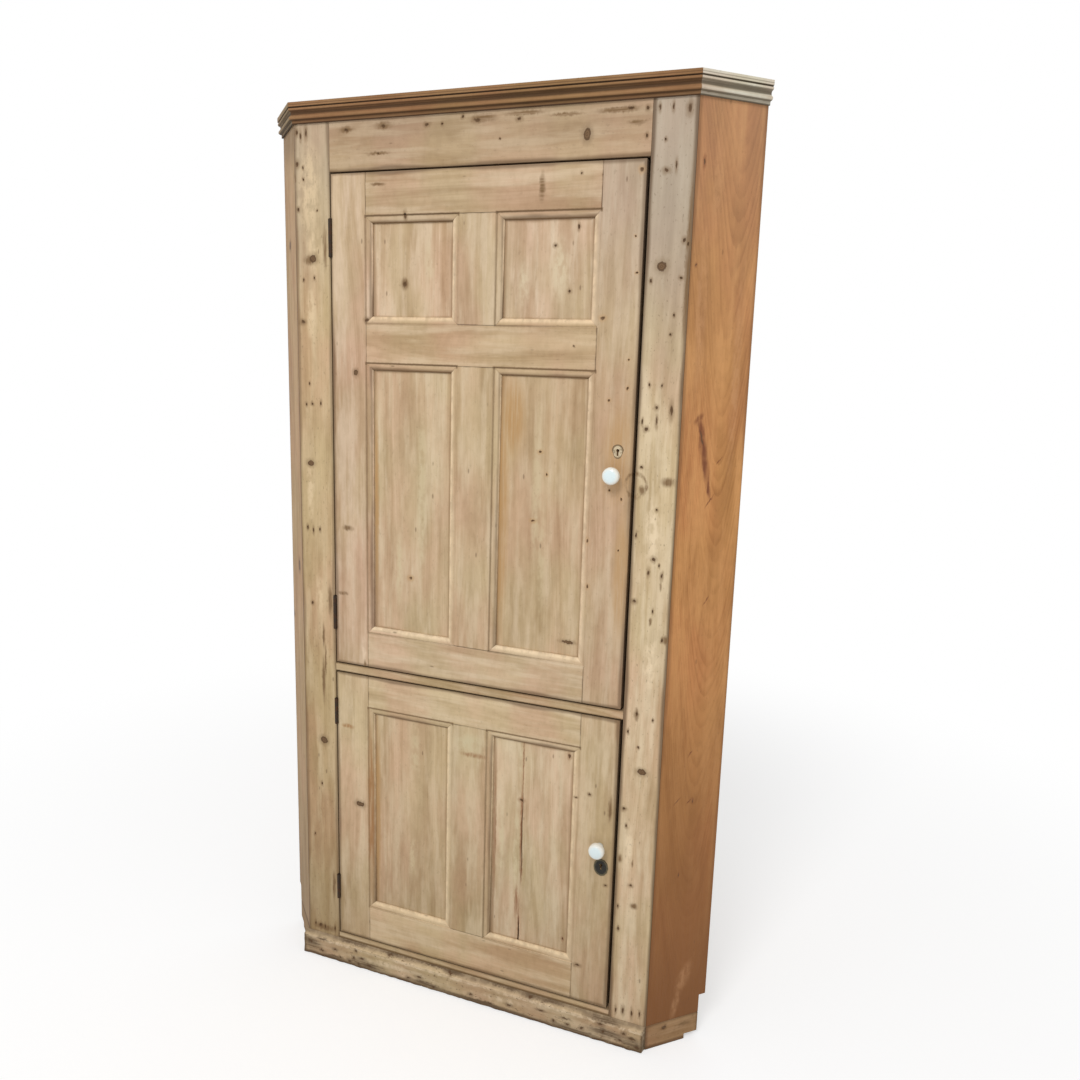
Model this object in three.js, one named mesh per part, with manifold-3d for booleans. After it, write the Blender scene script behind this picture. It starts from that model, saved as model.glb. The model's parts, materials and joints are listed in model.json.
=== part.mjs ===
// A floor-standing corner cupboard in stripped pine, built as a joiner builds it.
// Lengths are in millimetres. X runs to the right along the front, Y runs back into the room's corner, Z is up.

import * as THREE from 'three';
import { mergeVertices } from 'three/addons/utils/BufferGeometryUtils.js';
import Module from 'manifold-3d';

const wasm = await Module();
wasm.setup();

// Gaps and roundness
const FIT = 0.3; // gap between two pieces that touch
const OVERRUN = 3; // how far a cutter runs past what it cuts
const MERGE_DISTANCE = 0.001; // corners closer than this are one corner
const ROUND_SIDES = 16;
const KNOB_SIDES = 28;
const CURVE_STEPS = 6;

// Case, seen from outside
const CASE_HEIGHT = 2043;
const FRONT_WIDTH = 893;
const RETURN_WIDTH = 153;
const FRONT_THICKNESS = 22; // stiles, frieze rail and doors
const RETURN_THICKNESS = 20;
const LEFT_STILE_WIDTH = 89.5;
const RIGHT_STILE_WIDTH = 87.5;
const SCRIBE_MARGIN = 16.5; // how far the canted sides stand behind the back boards, to be scribed to the wall
const SKIRTING_NOTCH_HEIGHT = 103.5;

// Boards inside and behind
const BACK_THICKNESS = 14;
const BACK_BOARDS_PER_WALL = 3;
const BOARD_TONGUE = 6;
const HOUSING_DEPTH = 6; // groove in the canted side that takes the first back board
const TOP_THICKNESS = 18;
const BOTTOM_THICKNESS = 18;
const BOTTOM_BOARD_TOP = 73.8;
const SHELF_THICKNESS = 18.6;
const UPPER_SHELVES = 2;
const SHELF_STOP_GAP = 1.5; // the upper shelves stop the closed door

// Door openings, from the bottom board upwards; the upper one takes the height that is left under the frieze
const LOWER_OPENING_HEIGHT = 697.2;
const FRIEZE_RAIL_WIDTH = 126.2;
const UPPER_OPENING_HEIGHT = CASE_HEIGHT - TOP_THICKNESS - FRIEZE_RAIL_WIDTH
  - SHELF_THICKNESS - LOWER_OPENING_HEIGHT - BOTTOM_BOARD_TOP;
const DOOR_GAP = 3.6; // above and below each door
const HINGE_GAP = 2.9;
const LOCK_GAP = 6.8;

// Cornice and plinth
const CORNICE_HEIGHT = 43;
const CORNICE_PROJECTION = 13;
const PLINTH_HEIGHT = 60;
const PLINTH_PROJECTION = 16;
const PLINTH_BEVEL = 7.2;
const PLINTH_LEFT_OVERHANG = 9; // the plinth's square ends stand past the left corner
const PLINTH_RIGHT_SETBACK = 1.8; // and stop short of the right one
const FOOT_NOTCH_LENGTH = 34;
const FOOT_NOTCH_HEIGHT = 12;

// Door framing: widths of the flat faces, between the mouldings
const DOOR_STILE_FACE = 86;
const MUNTIN_FACE = 86.5;
const UPPER_TOP_RAIL_FACE = 88.6;
const CROSS_RAIL_FACE = 85;
const UPPER_BOTTOM_RAIL_FACE = 83;
const SMALL_PANEL_OPENING = 225.2;
const LOWER_TOP_RAIL_FACE = 76.8;
const LOWER_BOTTOM_RAIL_FACE = 90.4;
const MOULD_WIDTH = 15.5;
const MOULD_DEPTH = 6;
const MOULD_QUIRK = 1.4;
const PANEL_SETBACK = 8; // from the door's face to the panel's face
const PANEL_THICKNESS = 8;
const PANEL_GROOVE_DEPTH = 9;

// Mortise and tenon joints
const TENON_THICKNESS = 7;
const TENON_SHOULDER = 10;
const RAIL_TENON = 56;
const MUNTIN_TENON = 24;
const FRIEZE_TENON = 46;

// Butt hinges
const UPPER_HINGE_LENGTH = 80;
const LOWER_HINGE_LENGTH = 64;
const UPPER_DOOR_TOP_HINGE_DROP = 133; // from the door's top edge to the hinge's middle
const UPPER_DOOR_BOTTOM_HINGE_RISE = 122;
const LOWER_DOOR_TOP_HINGE_DROP = 99;
const LOWER_DOOR_BOTTOM_HINGE_RISE = 126;
const LEAF_THICKNESS = 2;
const LEAF_DEPTH = 19.5;
const KNUCKLE_RADIUS = 4;
const KNUCKLE_COUNT = 5;
const PIN_RADIUS = 1.9;
const PIN_CLEARANCE = 0.25;
const PIN_PROUD = 1;
const PIN_FORWARD = 2.5; // how far the pin's middle stands in front of the door's face

// Knobs, escutcheons and locks
const KNOB_DIAMETER = 36;
const KNOB_PROJECTION = 34;
const KNOB_HEAD_DEPTH = 22;
const KNOB_HEAD_SQUARENESS = 0.72; // 1 is an ellipse, less is flatter in front and on its rim
const KNOB_FOOT_RADIUS = 9;
const KNOB_FOOT_HEIGHT = 3;
const KNOB_NECK_RADIUS = 7.5;
const KNOB_INSET = 5; // how far the knobs sit to the left of the keyholes
const SPINDLE_RADIUS = 3;
const SPINDLE_PROUD = 5;
const UPPER_KEY_BACKSET = 32; // from the door's free edge to the keyhole
const LOWER_KEY_BACKSET = 27;
const UPPER_KEY_SHARE = 0.7478; // of the tall panels' opening, from its foot to the keyhole
const UPPER_KEY_ABOVE_SHELF = 126; // from the first upper shelf's top to the keyhole
const LOWER_KEY_ABOVE_BOTTOM = 352.7; // from the bottom board's top to the keyhole
const UPPER_KNOB_BELOW_KEY = 49.7;
const LOWER_KNOB_ABOVE_KEY = 43.2;
const KEYHOLE_RADIUS = 3.4;
const KEYHOLE_SLOT_WIDTH = 3.4;
const KEYHOLE_SLOT_LENGTH = 11;
const INLAID_WIDTH = 24;
const INLAID_HEIGHT = 28.5;
const INLAID_THICKNESS = 2.2;
const INLAID_PROUD = 0.6;
const OVAL_WIDTH = 33;
const OVAL_HEIGHT = 40;
const OVAL_THICKNESS = 1.8;
const LOCK_WIDTH = 62;
const LOCK_HEIGHT = 54;
const LOCK_DEPTH = 12;
const LOCK_BELOW_KEY = 21;
const LOCK_EDGE_SETBACK = 1;
const BOLT_HEIGHT = 20;
const BOLT_THICKNESS = 6;
const BOLT_LENGTH = 40;
const BOLT_ABOVE_KEY = 16;

// The canted sides stand at 45 degrees to the front, so that they meet the walls square
const CANT = Math.SQRT1_2;
const MITRE = Math.tan(Math.PI / 8);
const MITRE_GAP = FIT / Math.cos(Math.PI / 8);

// The cornice's profile, from its lower front corner up: shares of the projection and of the height
const CORNICE_SHARES = [
  [0.32, 0], [0.32, 0.16], [0.5, 0.175], [0.72, 0.195], [0.84, 0.235], [0.86, 0.28], [0.8, 0.33], [0.64, 0.365],
  [0.52, 0.4], [0.46, 0.45], [0.47, 0.51], [0.54, 0.56], [0.68, 0.585], [0.84, 0.605], [0.92, 0.64],
  [0.94, 0.68], [0.9, 0.72], [0.8, 0.74], [0.8, 0.77], [1, 0.78], [1, 1],
];

// Levels and places worked out from the sizes above
const CASE_TOP = CASE_HEIGHT - TOP_THICKNESS;
const MIDDLE_SHELF_BOTTOM = BOTTOM_BOARD_TOP + LOWER_OPENING_HEIGHT;
const MIDDLE_SHELF_TOP = MIDDLE_SHELF_BOTTOM + SHELF_THICKNESS;
const FRIEZE_BOTTOM = MIDDLE_SHELF_TOP + UPPER_OPENING_HEIGHT;
const HALF_FRONT = FRONT_WIDTH / 2;
const OPENING_LEFT = LEFT_STILE_WIDTH - HALF_FRONT;
const OPENING_RIGHT = HALF_FRONT - RIGHT_STILE_WIDTH;
const DOOR_LEFT = OPENING_LEFT + HINGE_GAP;
const DOOR_RIGHT = OPENING_RIGHT - LOCK_GAP;
const PIN_X = OPENING_LEFT + HINGE_GAP / 2;
const RETURN_END_X = HALF_FRONT + RETURN_WIDTH * CANT;
const WALL_LENGTH = RETURN_END_X / CANT;
const BACK_INNER_FACE = SCRIBE_MARGIN + BACK_THICKNESS;
const BACK_CORNER_Y = RETURN_WIDTH * CANT + RETURN_END_X;

// The two doors
const UPPER_DOOR = {
  name: 'upper_door',
  bottom: MIDDLE_SHELF_TOP + DOOR_GAP,
  top: FRIEZE_BOTTOM - DOOR_GAP,
};
const LOWER_DOOR = {
  name: 'lower_door',
  bottom: BOTTOM_BOARD_TOP + DOOR_GAP,
  top: MIDDLE_SHELF_BOTTOM - DOOR_GAP,
};

// Locks: where the key goes in, and the knob beside it
const TALL_PANELS = doorLayout(UPPER_DOOR).rows[0];
const UPPER_LOCK = {
  name: 'upper_lock',
  x: DOOR_RIGHT - UPPER_KEY_BACKSET,
  z: TALL_PANELS.bottom + (TALL_PANELS.top - TALL_PANELS.bottom) * UPPER_KEY_SHARE,
};
const LOWER_LOCK = {
  name: 'lower_lock',
  x: DOOR_RIGHT - LOWER_KEY_BACKSET,
  z: BOTTOM_BOARD_TOP + LOWER_KEY_ABOVE_BOTTOM,
};
const UPPER_KNOB = {
  name: 'upper_knob',
  x: UPPER_LOCK.x - KNOB_INSET,
  z: UPPER_LOCK.z - UPPER_KNOB_BELOW_KEY,
};
const LOWER_KNOB = {
  name: 'lower_knob',
  x: LOWER_LOCK.x - KNOB_INSET,
  z: LOWER_LOCK.z + LOWER_KNOB_ABOVE_KEY,
};

// Upper shelves: the first stays clear of the lock, the others share the height above it
const FIRST_SHELF_LEVEL = UPPER_LOCK.z - UPPER_KEY_ABOVE_SHELF - SHELF_THICKNESS / 2;
const SHELF_PITCH = (CASE_TOP - FIRST_SHELF_LEVEL) / UPPER_SHELVES;

// Hinges, two to a door
const HINGES = [
  { name: 'upper_door_top_hinge', door: UPPER_DOOR, z: UPPER_DOOR.top - UPPER_DOOR_TOP_HINGE_DROP,
    length: UPPER_HINGE_LENGTH },
  { name: 'upper_door_bottom_hinge', door: UPPER_DOOR, z: UPPER_DOOR.bottom + UPPER_DOOR_BOTTOM_HINGE_RISE,
    length: UPPER_HINGE_LENGTH },
  { name: 'lower_door_top_hinge', door: LOWER_DOOR, z: LOWER_DOOR.top - LOWER_DOOR_TOP_HINGE_DROP,
    length: LOWER_HINGE_LENGTH },
  { name: 'lower_door_bottom_hinge', door: LOWER_DOOR, z: LOWER_DOOR.bottom + LOWER_DOOR_BOTTOM_HINGE_RISE,
    length: LOWER_HINGE_LENGTH },
];

// Finishes
const FINISHES = {
  front_pine: { color: 0xc9aa83, roughness: 0.75, metalness: 0 },
  side_pine: { color: 0xb07a4c, roughness: 0.65, metalness: 0 },
  cornice_pine: { color: 0x966e55, roughness: 0.7, metalness: 0 },
  inside_pine: { color: 0xb08f68, roughness: 0.85, metalness: 0 },
  iron: { color: 0x3a332d, roughness: 0.6, metalness: 0.8 },
  brass: { color: 0xa48d62, roughness: 0.5, metalness: 0.9 },
  ceramic: { color: 0xeef2ee, roughness: 0.2, metalness: 0 },
};

const cupboard = new THREE.Group();

// Solids and meshes

function toSolid(geometry) {
  const bare = geometry.clone();
  bare.deleteAttribute('normal');
  bare.deleteAttribute('uv');
  const merged = mergeVertices(bare, MERGE_DISTANCE);
  const vertProperties = new Float32Array(merged.attributes.position.array);
  const triVerts = new Uint32Array(merged.index.array);
  return new wasm.Manifold(new wasm.Mesh({ numProp: 3, vertProperties, triVerts }));
}

function toGeometry(solid) {
  const found = solid.getMesh();
  const geometry = new THREE.BufferGeometry();
  geometry.setAttribute('position', new THREE.BufferAttribute(new Float32Array(found.vertProperties), 3));
  geometry.setIndex(new THREE.BufferAttribute(new Uint32Array(found.triVerts), 1));
  const flat = geometry.toNonIndexed();
  flat.computeVertexNormals();
  return flat;
}

function subtractAll(solid, cutters) {
  return cutters.reduce((left, cutter) => left.subtract(cutter), solid);
}

function addPiece(name, shape, finish) {
  const geometry = shape.isBufferGeometry ? shape : toGeometry(shape);
  const mesh = new THREE.Mesh(geometry, new THREE.MeshStandardMaterial(FINISHES[finish]));
  mesh.name = name;
  cupboard.add(mesh);
}

function outlineShape(points) {
  return new THREE.Shape(points.map(([a, b]) => new THREE.Vector2(a, b)));
}

// An outline seen from above, standing from one level to another
function standing(points, bottom, top) {
  const geometry = new THREE.ExtrudeGeometry(outlineShape(points), { depth: top - bottom, bevelEnabled: false });
  return geometry.translate(0, 0, bottom);
}

// An outline seen from the front, reaching from a front plane to a back plane
function facing(points, front, back) {
  const shape = Array.isArray(points) ? outlineShape(points) : points;
  const geometry = new THREE.ExtrudeGeometry(shape, {
    depth: back - front, bevelEnabled: false, curveSegments: CURVE_STEPS,
  });
  geometry.rotateX(Math.PI / 2);
  return geometry.translate(0, back, 0);
}

function block(x0, x1, y0, y1, z0, z1) {
  const geometry = new THREE.BoxGeometry(x1 - x0, y1 - y0, z1 - z0);
  return toSolid(geometry.translate((x0 + x1) / 2, (y0 + y1) / 2, (z0 + z1) / 2));
}

// A round bar standing on end; a cutter is made wider, so that its flats keep the radius
function upright(x, y, radius, bottom, top, isCutter) {
  const reach = isCutter ? radius / Math.cos(Math.PI / ROUND_SIDES) : radius;
  const geometry = new THREE.CylinderGeometry(reach, reach, top - bottom, ROUND_SIDES);
  geometry.rotateX(Math.PI / 2);
  return toSolid(geometry.translate(x, y, (bottom + top) / 2));
}

// A solid through sections of equal count; the cap's outline in 2D says how the two ends are filled
function loft(sections, capOutline) {
  const count = capOutline.length;
  const corners = capOutline.map(([a, b]) => new THREE.Vector2(a, b));
  const cap = THREE.ShapeUtils.triangulateShape(corners, []);
  const last = (sections.length - 1) * count;
  const index = [];
  cap.forEach(([a, b, c]) => index.push(c, b, a, last + a, last + b, last + c));
  for (let row = 0; row < sections.length - 1; row += 1) {
    for (let i = 0; i < count; i += 1) {
      const here = row * count + i;
      const next = row * count + (i + 1) % count;
      index.push(here, next, next + count, here, next + count, here + count);
    }
  }
  const geometry = new THREE.BufferGeometry();
  geometry.setAttribute('position', new THREE.Float32BufferAttribute(sections.flat(2), 3));
  geometry.setIndex(signedVolume(sections.flat(1), index) < 0 ? index.reverse() : index);
  return geometry;
}

function signedVolume(points, index) {
  const corner = (i) => new THREE.Vector3(...points[index[i]]);
  let total = 0;
  for (let i = 0; i < index.length; i += 3) {
    total += corner(i).dot(corner(i + 1).cross(corner(i + 2)));
  }
  return total;
}

// A point in plan beside a canted side: how far along it from the front corner, how far in from its face
function besideReturn(side, along, inward) {
  return [side * (HALF_FRONT + (along - inward) * CANT), (along + inward) * CANT];
}

// A point in plan beside a wall: how far along it from the canted side, how far in from the wall
function besideWall(side, along, inward) {
  return [side * (RETURN_END_X - (along + inward) * CANT), RETURN_WIDTH * CANT + (along - inward) * CANT];
}

// Front frame

function stileOutline(side, width) {
  const inner = side * (HALF_FRONT - width);
  return [
    [inner, 0],
    [side * HALF_FRONT, 0],
    [side * (HALF_FRONT - FRONT_THICKNESS * MITRE), FRONT_THICKNESS],
    [inner, FRONT_THICKNESS],
  ];
}

function frameTenonBlock(x0, x1, z0, z1, clearance) {
  const front = (FRONT_THICKNESS - TENON_THICKNESS) / 2 - clearance;
  const back = (FRONT_THICKNESS + TENON_THICKNESS) / 2 + clearance;
  return block(x0 - clearance, x1 + clearance, front, back, z0 - clearance, z1 + clearance);
}

function friezeTenons(clearance) {
  const bottom = FRIEZE_BOTTOM + TENON_SHOULDER;
  const top = CASE_TOP - TENON_SHOULDER;
  return [
    frameTenonBlock(OPENING_LEFT - FRIEZE_TENON, OPENING_LEFT + OVERRUN, bottom, top, clearance),
    frameTenonBlock(OPENING_RIGHT - OVERRUN, OPENING_RIGHT + FRIEZE_TENON, bottom, top, clearance),
  ];
}

function buildFrontFrame() {
  const leftStile = toSolid(standing(stileOutline(-1, LEFT_STILE_WIDTH), 0, CASE_TOP));
  const rightStile = toSolid(standing(stileOutline(1, RIGHT_STILE_WIDTH), 0, CASE_TOP));
  const mortises = friezeTenons(FIT);
  const hingeSeats = HINGES.flatMap((hinge) => hingeSeatCutters(hinge, -1));
  addPiece('left_stile', subtractAll(leftStile, [mortises[0], ...hingeSeats]), 'front_pine');
  addPiece('right_stile', rightStile.subtract(mortises[1]), 'front_pine');
  const rail = block(OPENING_LEFT + FIT, OPENING_RIGHT - FIT, 0, FRONT_THICKNESS, FRIEZE_BOTTOM, CASE_TOP);
  const tenons = friezeTenons(0);
  addPiece('frieze_rail', rail.add(tenons[0]).add(tenons[1]), 'front_pine');
}

// Canted sides, each with its groove for the back board and its notch over the skirting

function returnOutline(side) {
  const inner = RETURN_THICKNESS;
  const groove = RETURN_THICKNESS - HOUSING_DEPTH;
  const grooveBack = RETURN_WIDTH - SCRIBE_MARGIN + FIT;
  const grooveFront = RETURN_WIDTH - BACK_INNER_FACE - FIT;
  const corners = [
    [MITRE_GAP, 0], [RETURN_WIDTH, 0], [RETURN_WIDTH, inner], [grooveBack, inner], [grooveBack, groove],
    [grooveFront, groove], [grooveFront, inner], [inner * MITRE + MITRE_GAP, inner],
  ];
  return corners.map(([along, inward]) => besideReturn(side, along, inward));
}

function returnSlab(side, start, end, depth, bottom, top) {
  const corners = [[start, -OVERRUN], [end, -OVERRUN], [end, depth], [start, depth]];
  return toSolid(standing(corners.map(([a, b]) => besideReturn(side, a, b)), bottom, top));
}

function buildReturns() {
  const notchStart = RETURN_WIDTH - SCRIBE_MARGIN;
  for (const [name, side] of [['left_return_board', -1], ['right_return_board', 1]]) {
    const board = toSolid(standing(returnOutline(side), PLINTH_HEIGHT + FIT, CASE_TOP));
    const past = RETURN_WIDTH + OVERRUN;
    const notch = returnSlab(side, notchStart, past, RETURN_THICKNESS + OVERRUN, -OVERRUN, SKIRTING_NOTCH_HEIGHT);
    addPiece(name, board.subtract(notch), 'side_pine');
  }
}

// Back boards, tongued and grooved, running from the floor to the top

function backBoardOutline(side, start, end, hasGroove, hasTongue) {
  const outer = SCRIBE_MARGIN;
  const inner = BACK_INNER_FACE;
  const tongueOuter = SCRIBE_MARGIN + BACK_THICKNESS / 3;
  const tongueInner = SCRIBE_MARGIN + BACK_THICKNESS * 2 / 3;
  const grooveEnd = start + BOARD_TONGUE + FIT;
  const corners = [[start, outer], [end, outer]];
  if (hasTongue) {
    corners.push([end, tongueOuter], [end + BOARD_TONGUE, tongueOuter]);
    corners.push([end + BOARD_TONGUE, tongueInner], [end, tongueInner]);
  }
  corners.push([end, inner], [start, inner]);
  if (hasGroove) {
    corners.push([start, tongueInner + FIT], [grooveEnd, tongueInner + FIT]);
    corners.push([grooveEnd, tongueOuter - FIT], [start, tongueOuter - FIT]);
  }
  return corners.map(([along, inward]) => besideWall(side, along, inward));
}

function buildBackBoards() {
  const start = RETURN_THICKNESS - HOUSING_DEPTH + FIT;
  const walls = [
    ['left_back_board', -1, WALL_LENGTH - SCRIBE_MARGIN],
    ['right_back_board', 1, WALL_LENGTH - BACK_INNER_FACE - FIT],
  ];
  for (const [name, side, end] of walls) {
    const pitch = (end - start) / BACK_BOARDS_PER_WALL;
    for (let i = 0; i < BACK_BOARDS_PER_WALL; i += 1) {
      const isFirst = i === 0;
      const isLast = i === BACK_BOARDS_PER_WALL - 1;
      const near = start + pitch * i + (isFirst ? 0 : FIT);
      const outline = backBoardOutline(side, near, start + pitch * (i + 1), !isFirst, !isLast);
      addPiece(`${name}_${i + 1}`, standing(outline, 0, CASE_TOP), 'inside_pine');
    }
  }
}

// Shelves, bottom and top

// The room inside the case in plan, from the right front corner round to the left one
function interiorOutline(front) {
  const depth = RETURN_THICKNESS + FIT;
  const backAlong = RETURN_WIDTH - BACK_INNER_FACE - FIT;
  const frontAlong = front / CANT - depth;
  const backCornerY = BACK_CORNER_Y - (BACK_INNER_FACE + FIT) / CANT;
  return [
    besideReturn(1, frontAlong, depth),
    besideReturn(1, backAlong, depth),
    [0, backCornerY],
    besideReturn(-1, backAlong, depth),
    besideReturn(-1, frontAlong, depth),
  ];
}

// A shelf whose front edge comes out between the stiles, flush with the front
function throughShelfOutline() {
  const behind = FRONT_THICKNESS + FIT;
  const left = OPENING_LEFT + FIT;
  const right = OPENING_RIGHT - FIT;
  return [...interiorOutline(behind), [left, behind], [left, 0], [right, 0], [right, behind]];
}

function topOutline() {
  const half = [
    [HALF_FRONT, 0],
    besideReturn(1, RETURN_WIDTH, 0),
    besideReturn(1, RETURN_WIDTH, RETURN_THICKNESS),
    besideReturn(1, RETURN_WIDTH - SCRIBE_MARGIN, RETURN_THICKNESS),
  ];
  const otherHalf = half.map(([x, y]) => [-x, y]).reverse();
  return [...half, [0, BACK_CORNER_Y - SCRIBE_MARGIN / CANT], ...otherHalf];
}

function buildShelves() {
  addPiece('top_board', standing(topOutline(), CASE_TOP + FIT, CASE_HEIGHT), 'inside_pine');
  const bottom = standing(throughShelfOutline(), BOTTOM_BOARD_TOP - BOTTOM_THICKNESS, BOTTOM_BOARD_TOP);
  addPiece('bottom_board', bottom, 'front_pine');
  addPiece('middle_shelf', standing(throughShelfOutline(), MIDDLE_SHELF_BOTTOM, MIDDLE_SHELF_TOP), 'front_pine');
  for (let i = 0; i < UPPER_SHELVES; i += 1) {
    const level = FIRST_SHELF_LEVEL + SHELF_PITCH * i;
    const outline = interiorOutline(FRONT_THICKNESS + SHELF_STOP_GAP);
    const shelf = standing(outline, level - SHELF_THICKNESS / 2, level + SHELF_THICKNESS / 2);
    addPiece(`upper_shelf_${i + 1}`, shelf, 'inside_pine');
  }
}

// Cornice, mitred round the front corners

function corniceProfile() {
  const front = CORNICE_SHARES.map(([out, up]) => [out * CORNICE_PROJECTION, up * CORNICE_HEIGHT]);
  return [[FIT, 0], ...front, [FIT, CORNICE_HEIGHT]];
}

// A moulding's outline at the end of the front that side names, mitred there
function mitredEnd(side, profile, level) {
  return profile.map(([out, up]) => [side * (HALF_FRONT + out * MITRE), -out, level + up]);
}

// A moulding along a canted side, mitred at the front corner and square at its far end
function returnMoulding(side, profile, level, end) {
  const place = (along, out, up) => [...besideReturn(side, along, -out), level + up];
  const near = profile.map(([out, up]) => place(MITRE_GAP - out * MITRE, out, up));
  const far = profile.map(([out, up]) => place(end, out, up));
  return loft([near, far], profile);
}

function buildCornice() {
  const profile = corniceProfile();
  const level = CASE_HEIGHT - CORNICE_HEIGHT;
  const front = loft([mitredEnd(-1, profile, level), mitredEnd(1, profile, level)], profile);
  addPiece('cornice_front', front, 'cornice_pine');
  addPiece('cornice_left_return', returnMoulding(-1, profile, level, RETURN_WIDTH), 'cornice_pine');
  addPiece('cornice_right_return', returnMoulding(1, profile, level, RETURN_WIDTH), 'cornice_pine');
}

// Plinth: a bevelled board planted on the front, square at both ends, and a flush foot under each canted side

function plinthProfile() {
  return [[FIT, 0], [PLINTH_PROJECTION, 0], [PLINTH_PROJECTION, PLINTH_HEIGHT - PLINTH_BEVEL], [FIT, PLINTH_HEIGHT]];
}

function buildPlinth() {
  const profile = plinthProfile();
  const squareEnd = (x) => profile.map(([out, up]) => [x, -out, up]);
  const left = squareEnd(-HALF_FRONT - PLINTH_LEFT_OVERHANG);
  const right = squareEnd(HALF_FRONT - PLINTH_RIGHT_SETBACK);
  addPiece('plinth_front', loft([left, right], profile), 'front_pine');
  addPiece('plinth_left_return', sideFoot(-1), 'front_pine');
  addPiece('plinth_right_return', sideFoot(1), 'front_pine');
}

// A canted side's foot is a board let in flush, with its lower back corner cut away
function sideFoot(side) {
  const end = RETURN_WIDTH - SCRIBE_MARGIN;
  const thickness = RETURN_THICKNESS - HOUSING_DEPTH;
  const corners = [[MITRE_GAP, 0], [end, 0], [end, thickness], [thickness * MITRE + MITRE_GAP, thickness]];
  const board = toSolid(standing(corners.map(([a, b]) => besideReturn(side, a, b)), 0, PLINTH_HEIGHT));
  const notchStart = end - FOOT_NOTCH_LENGTH;
  const notch = returnSlab(side, notchStart, end + OVERRUN, RETURN_THICKNESS, -OVERRUN, FOOT_NOTCH_HEIGHT);
  return board.subtract(notch);
}

// Panelled doors

// A door's panel openings, in rows from the bottom, each between the flat faces that frame it
function doorLayout(door) {
  const isUpper = door === UPPER_DOOR;
  const bottomFace = isUpper ? UPPER_BOTTOM_RAIL_FACE : LOWER_BOTTOM_RAIL_FACE;
  const topFace = isUpper ? UPPER_TOP_RAIL_FACE : LOWER_TOP_RAIL_FACE;
  const panelBottom = door.bottom + bottomFace;
  const panelTop = door.top - topFace;
  const smallPanelBottom = panelTop - SMALL_PANEL_OPENING;
  const tallRow = { name: 'tall', bottom: panelBottom, top: smallPanelBottom - CROSS_RAIL_FACE };
  const smallRow = { name: 'small', bottom: smallPanelBottom, top: panelTop };
  const onlyRow = { name: 'lower', bottom: panelBottom, top: panelTop };
  return { panelBottom, panelTop, rows: isUpper ? [tallRow, smallRow] : [onlyRow] };
}

function doorColumns() {
  const middle = (DOOR_LEFT + DOOR_RIGHT) / 2;
  return [
    { name: 'left', left: DOOR_LEFT + DOOR_STILE_FACE, right: middle - MUNTIN_FACE / 2 },
    { name: 'right', left: middle + MUNTIN_FACE / 2, right: DOOR_RIGHT - DOOR_STILE_FACE },
  ];
}

// The outline of a framing piece: its flat face, with a mitred strip for the moulding along each opening
function memberOutline(face, strips) {
  const reach = MOULD_WIDTH + OVERRUN;
  const points = [[face.x0, face.z0]];
  for (const [a, b] of strips.bottom ?? []) {
    points.push([a + FIT, face.z0], [a + FIT + reach, face.z0 - reach]);
    points.push([b - FIT - reach, face.z0 - reach], [b - FIT, face.z0]);
  }
  points.push([face.x1, face.z0]);
  for (const [a, b] of strips.right ?? []) {
    points.push([face.x1, a + FIT], [face.x1 + reach, a + FIT + reach]);
    points.push([face.x1 + reach, b - FIT - reach], [face.x1, b - FIT]);
  }
  points.push([face.x1, face.z1]);
  for (const [a, b] of [...(strips.top ?? [])].reverse()) {
    points.push([b - FIT, face.z1], [b - FIT - reach, face.z1 + reach]);
    points.push([a + FIT + reach, face.z1 + reach], [a + FIT, face.z1]);
  }
  points.push([face.x0, face.z1]);
  for (const [a, b] of [...(strips.left ?? [])].reverse()) {
    points.push([face.x0, b - FIT], [face.x0 - reach, b - FIT - reach]);
    points.push([face.x0 - reach, a + FIT + reach], [face.x0, a + FIT]);
  }
  return points.filter((point, i) => !isSamePoint(point, points[(i + 1) % points.length]));
}

function isSamePoint(a, b) {
  return Math.hypot(a[0] - b[0], a[1] - b[1]) < MERGE_DISTANCE;
}

// What is cut away at one panel: the stuck moulding round the opening, and the groove for the panel's edges
function openingCutters(column, row) {
  const ring = (inset, depth) => [
    [column.left + inset, depth, row.bottom + inset],
    [column.right - inset, depth, row.bottom + inset],
    [column.right - inset, depth, row.top - inset],
    [column.left + inset, depth, row.top - inset],
  ];
  const rings = [ring(0, -OVERRUN), ring(0, MOULD_QUIRK)];
  for (let i = 1; i <= CURVE_STEPS; i += 1) {
    const turn = Math.PI / 2 * i / CURVE_STEPS;
    const fall = (MOULD_DEPTH - MOULD_QUIRK) * (1 - Math.cos(turn));
    rings.push(ring(MOULD_WIDTH * Math.sin(turn), MOULD_QUIRK + fall));
  }
  rings.push(ring(MOULD_WIDTH, FRONT_THICKNESS + OVERRUN));
  const square = [[0, 0], [1, 0], [1, 1], [0, 1]];
  return [toSolid(loft(rings, square)), panelBlock(column, row, 0)];
}

function panelBlock(column, row, clearance) {
  const inset = MOULD_WIDTH - PANEL_GROOVE_DEPTH + clearance;
  const front = PANEL_SETBACK - FIT + clearance;
  const back = PANEL_SETBACK + PANEL_THICKNESS + FIT - clearance;
  return block(column.left + inset, column.right - inset, front, back, row.bottom + inset, row.top - inset);
}

function railTenons(rail, clearance) {
  const bottom = rail.z0 + TENON_SHOULDER;
  const top = rail.z1 - TENON_SHOULDER;
  const leftShoulder = DOOR_LEFT + DOOR_STILE_FACE;
  const rightShoulder = DOOR_RIGHT - DOOR_STILE_FACE;
  return [
    frameTenonBlock(leftShoulder - RAIL_TENON, leftShoulder + OVERRUN, bottom, top, clearance),
    frameTenonBlock(rightShoulder - OVERRUN, rightShoulder + RAIL_TENON, bottom, top, clearance),
  ];
}

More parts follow.
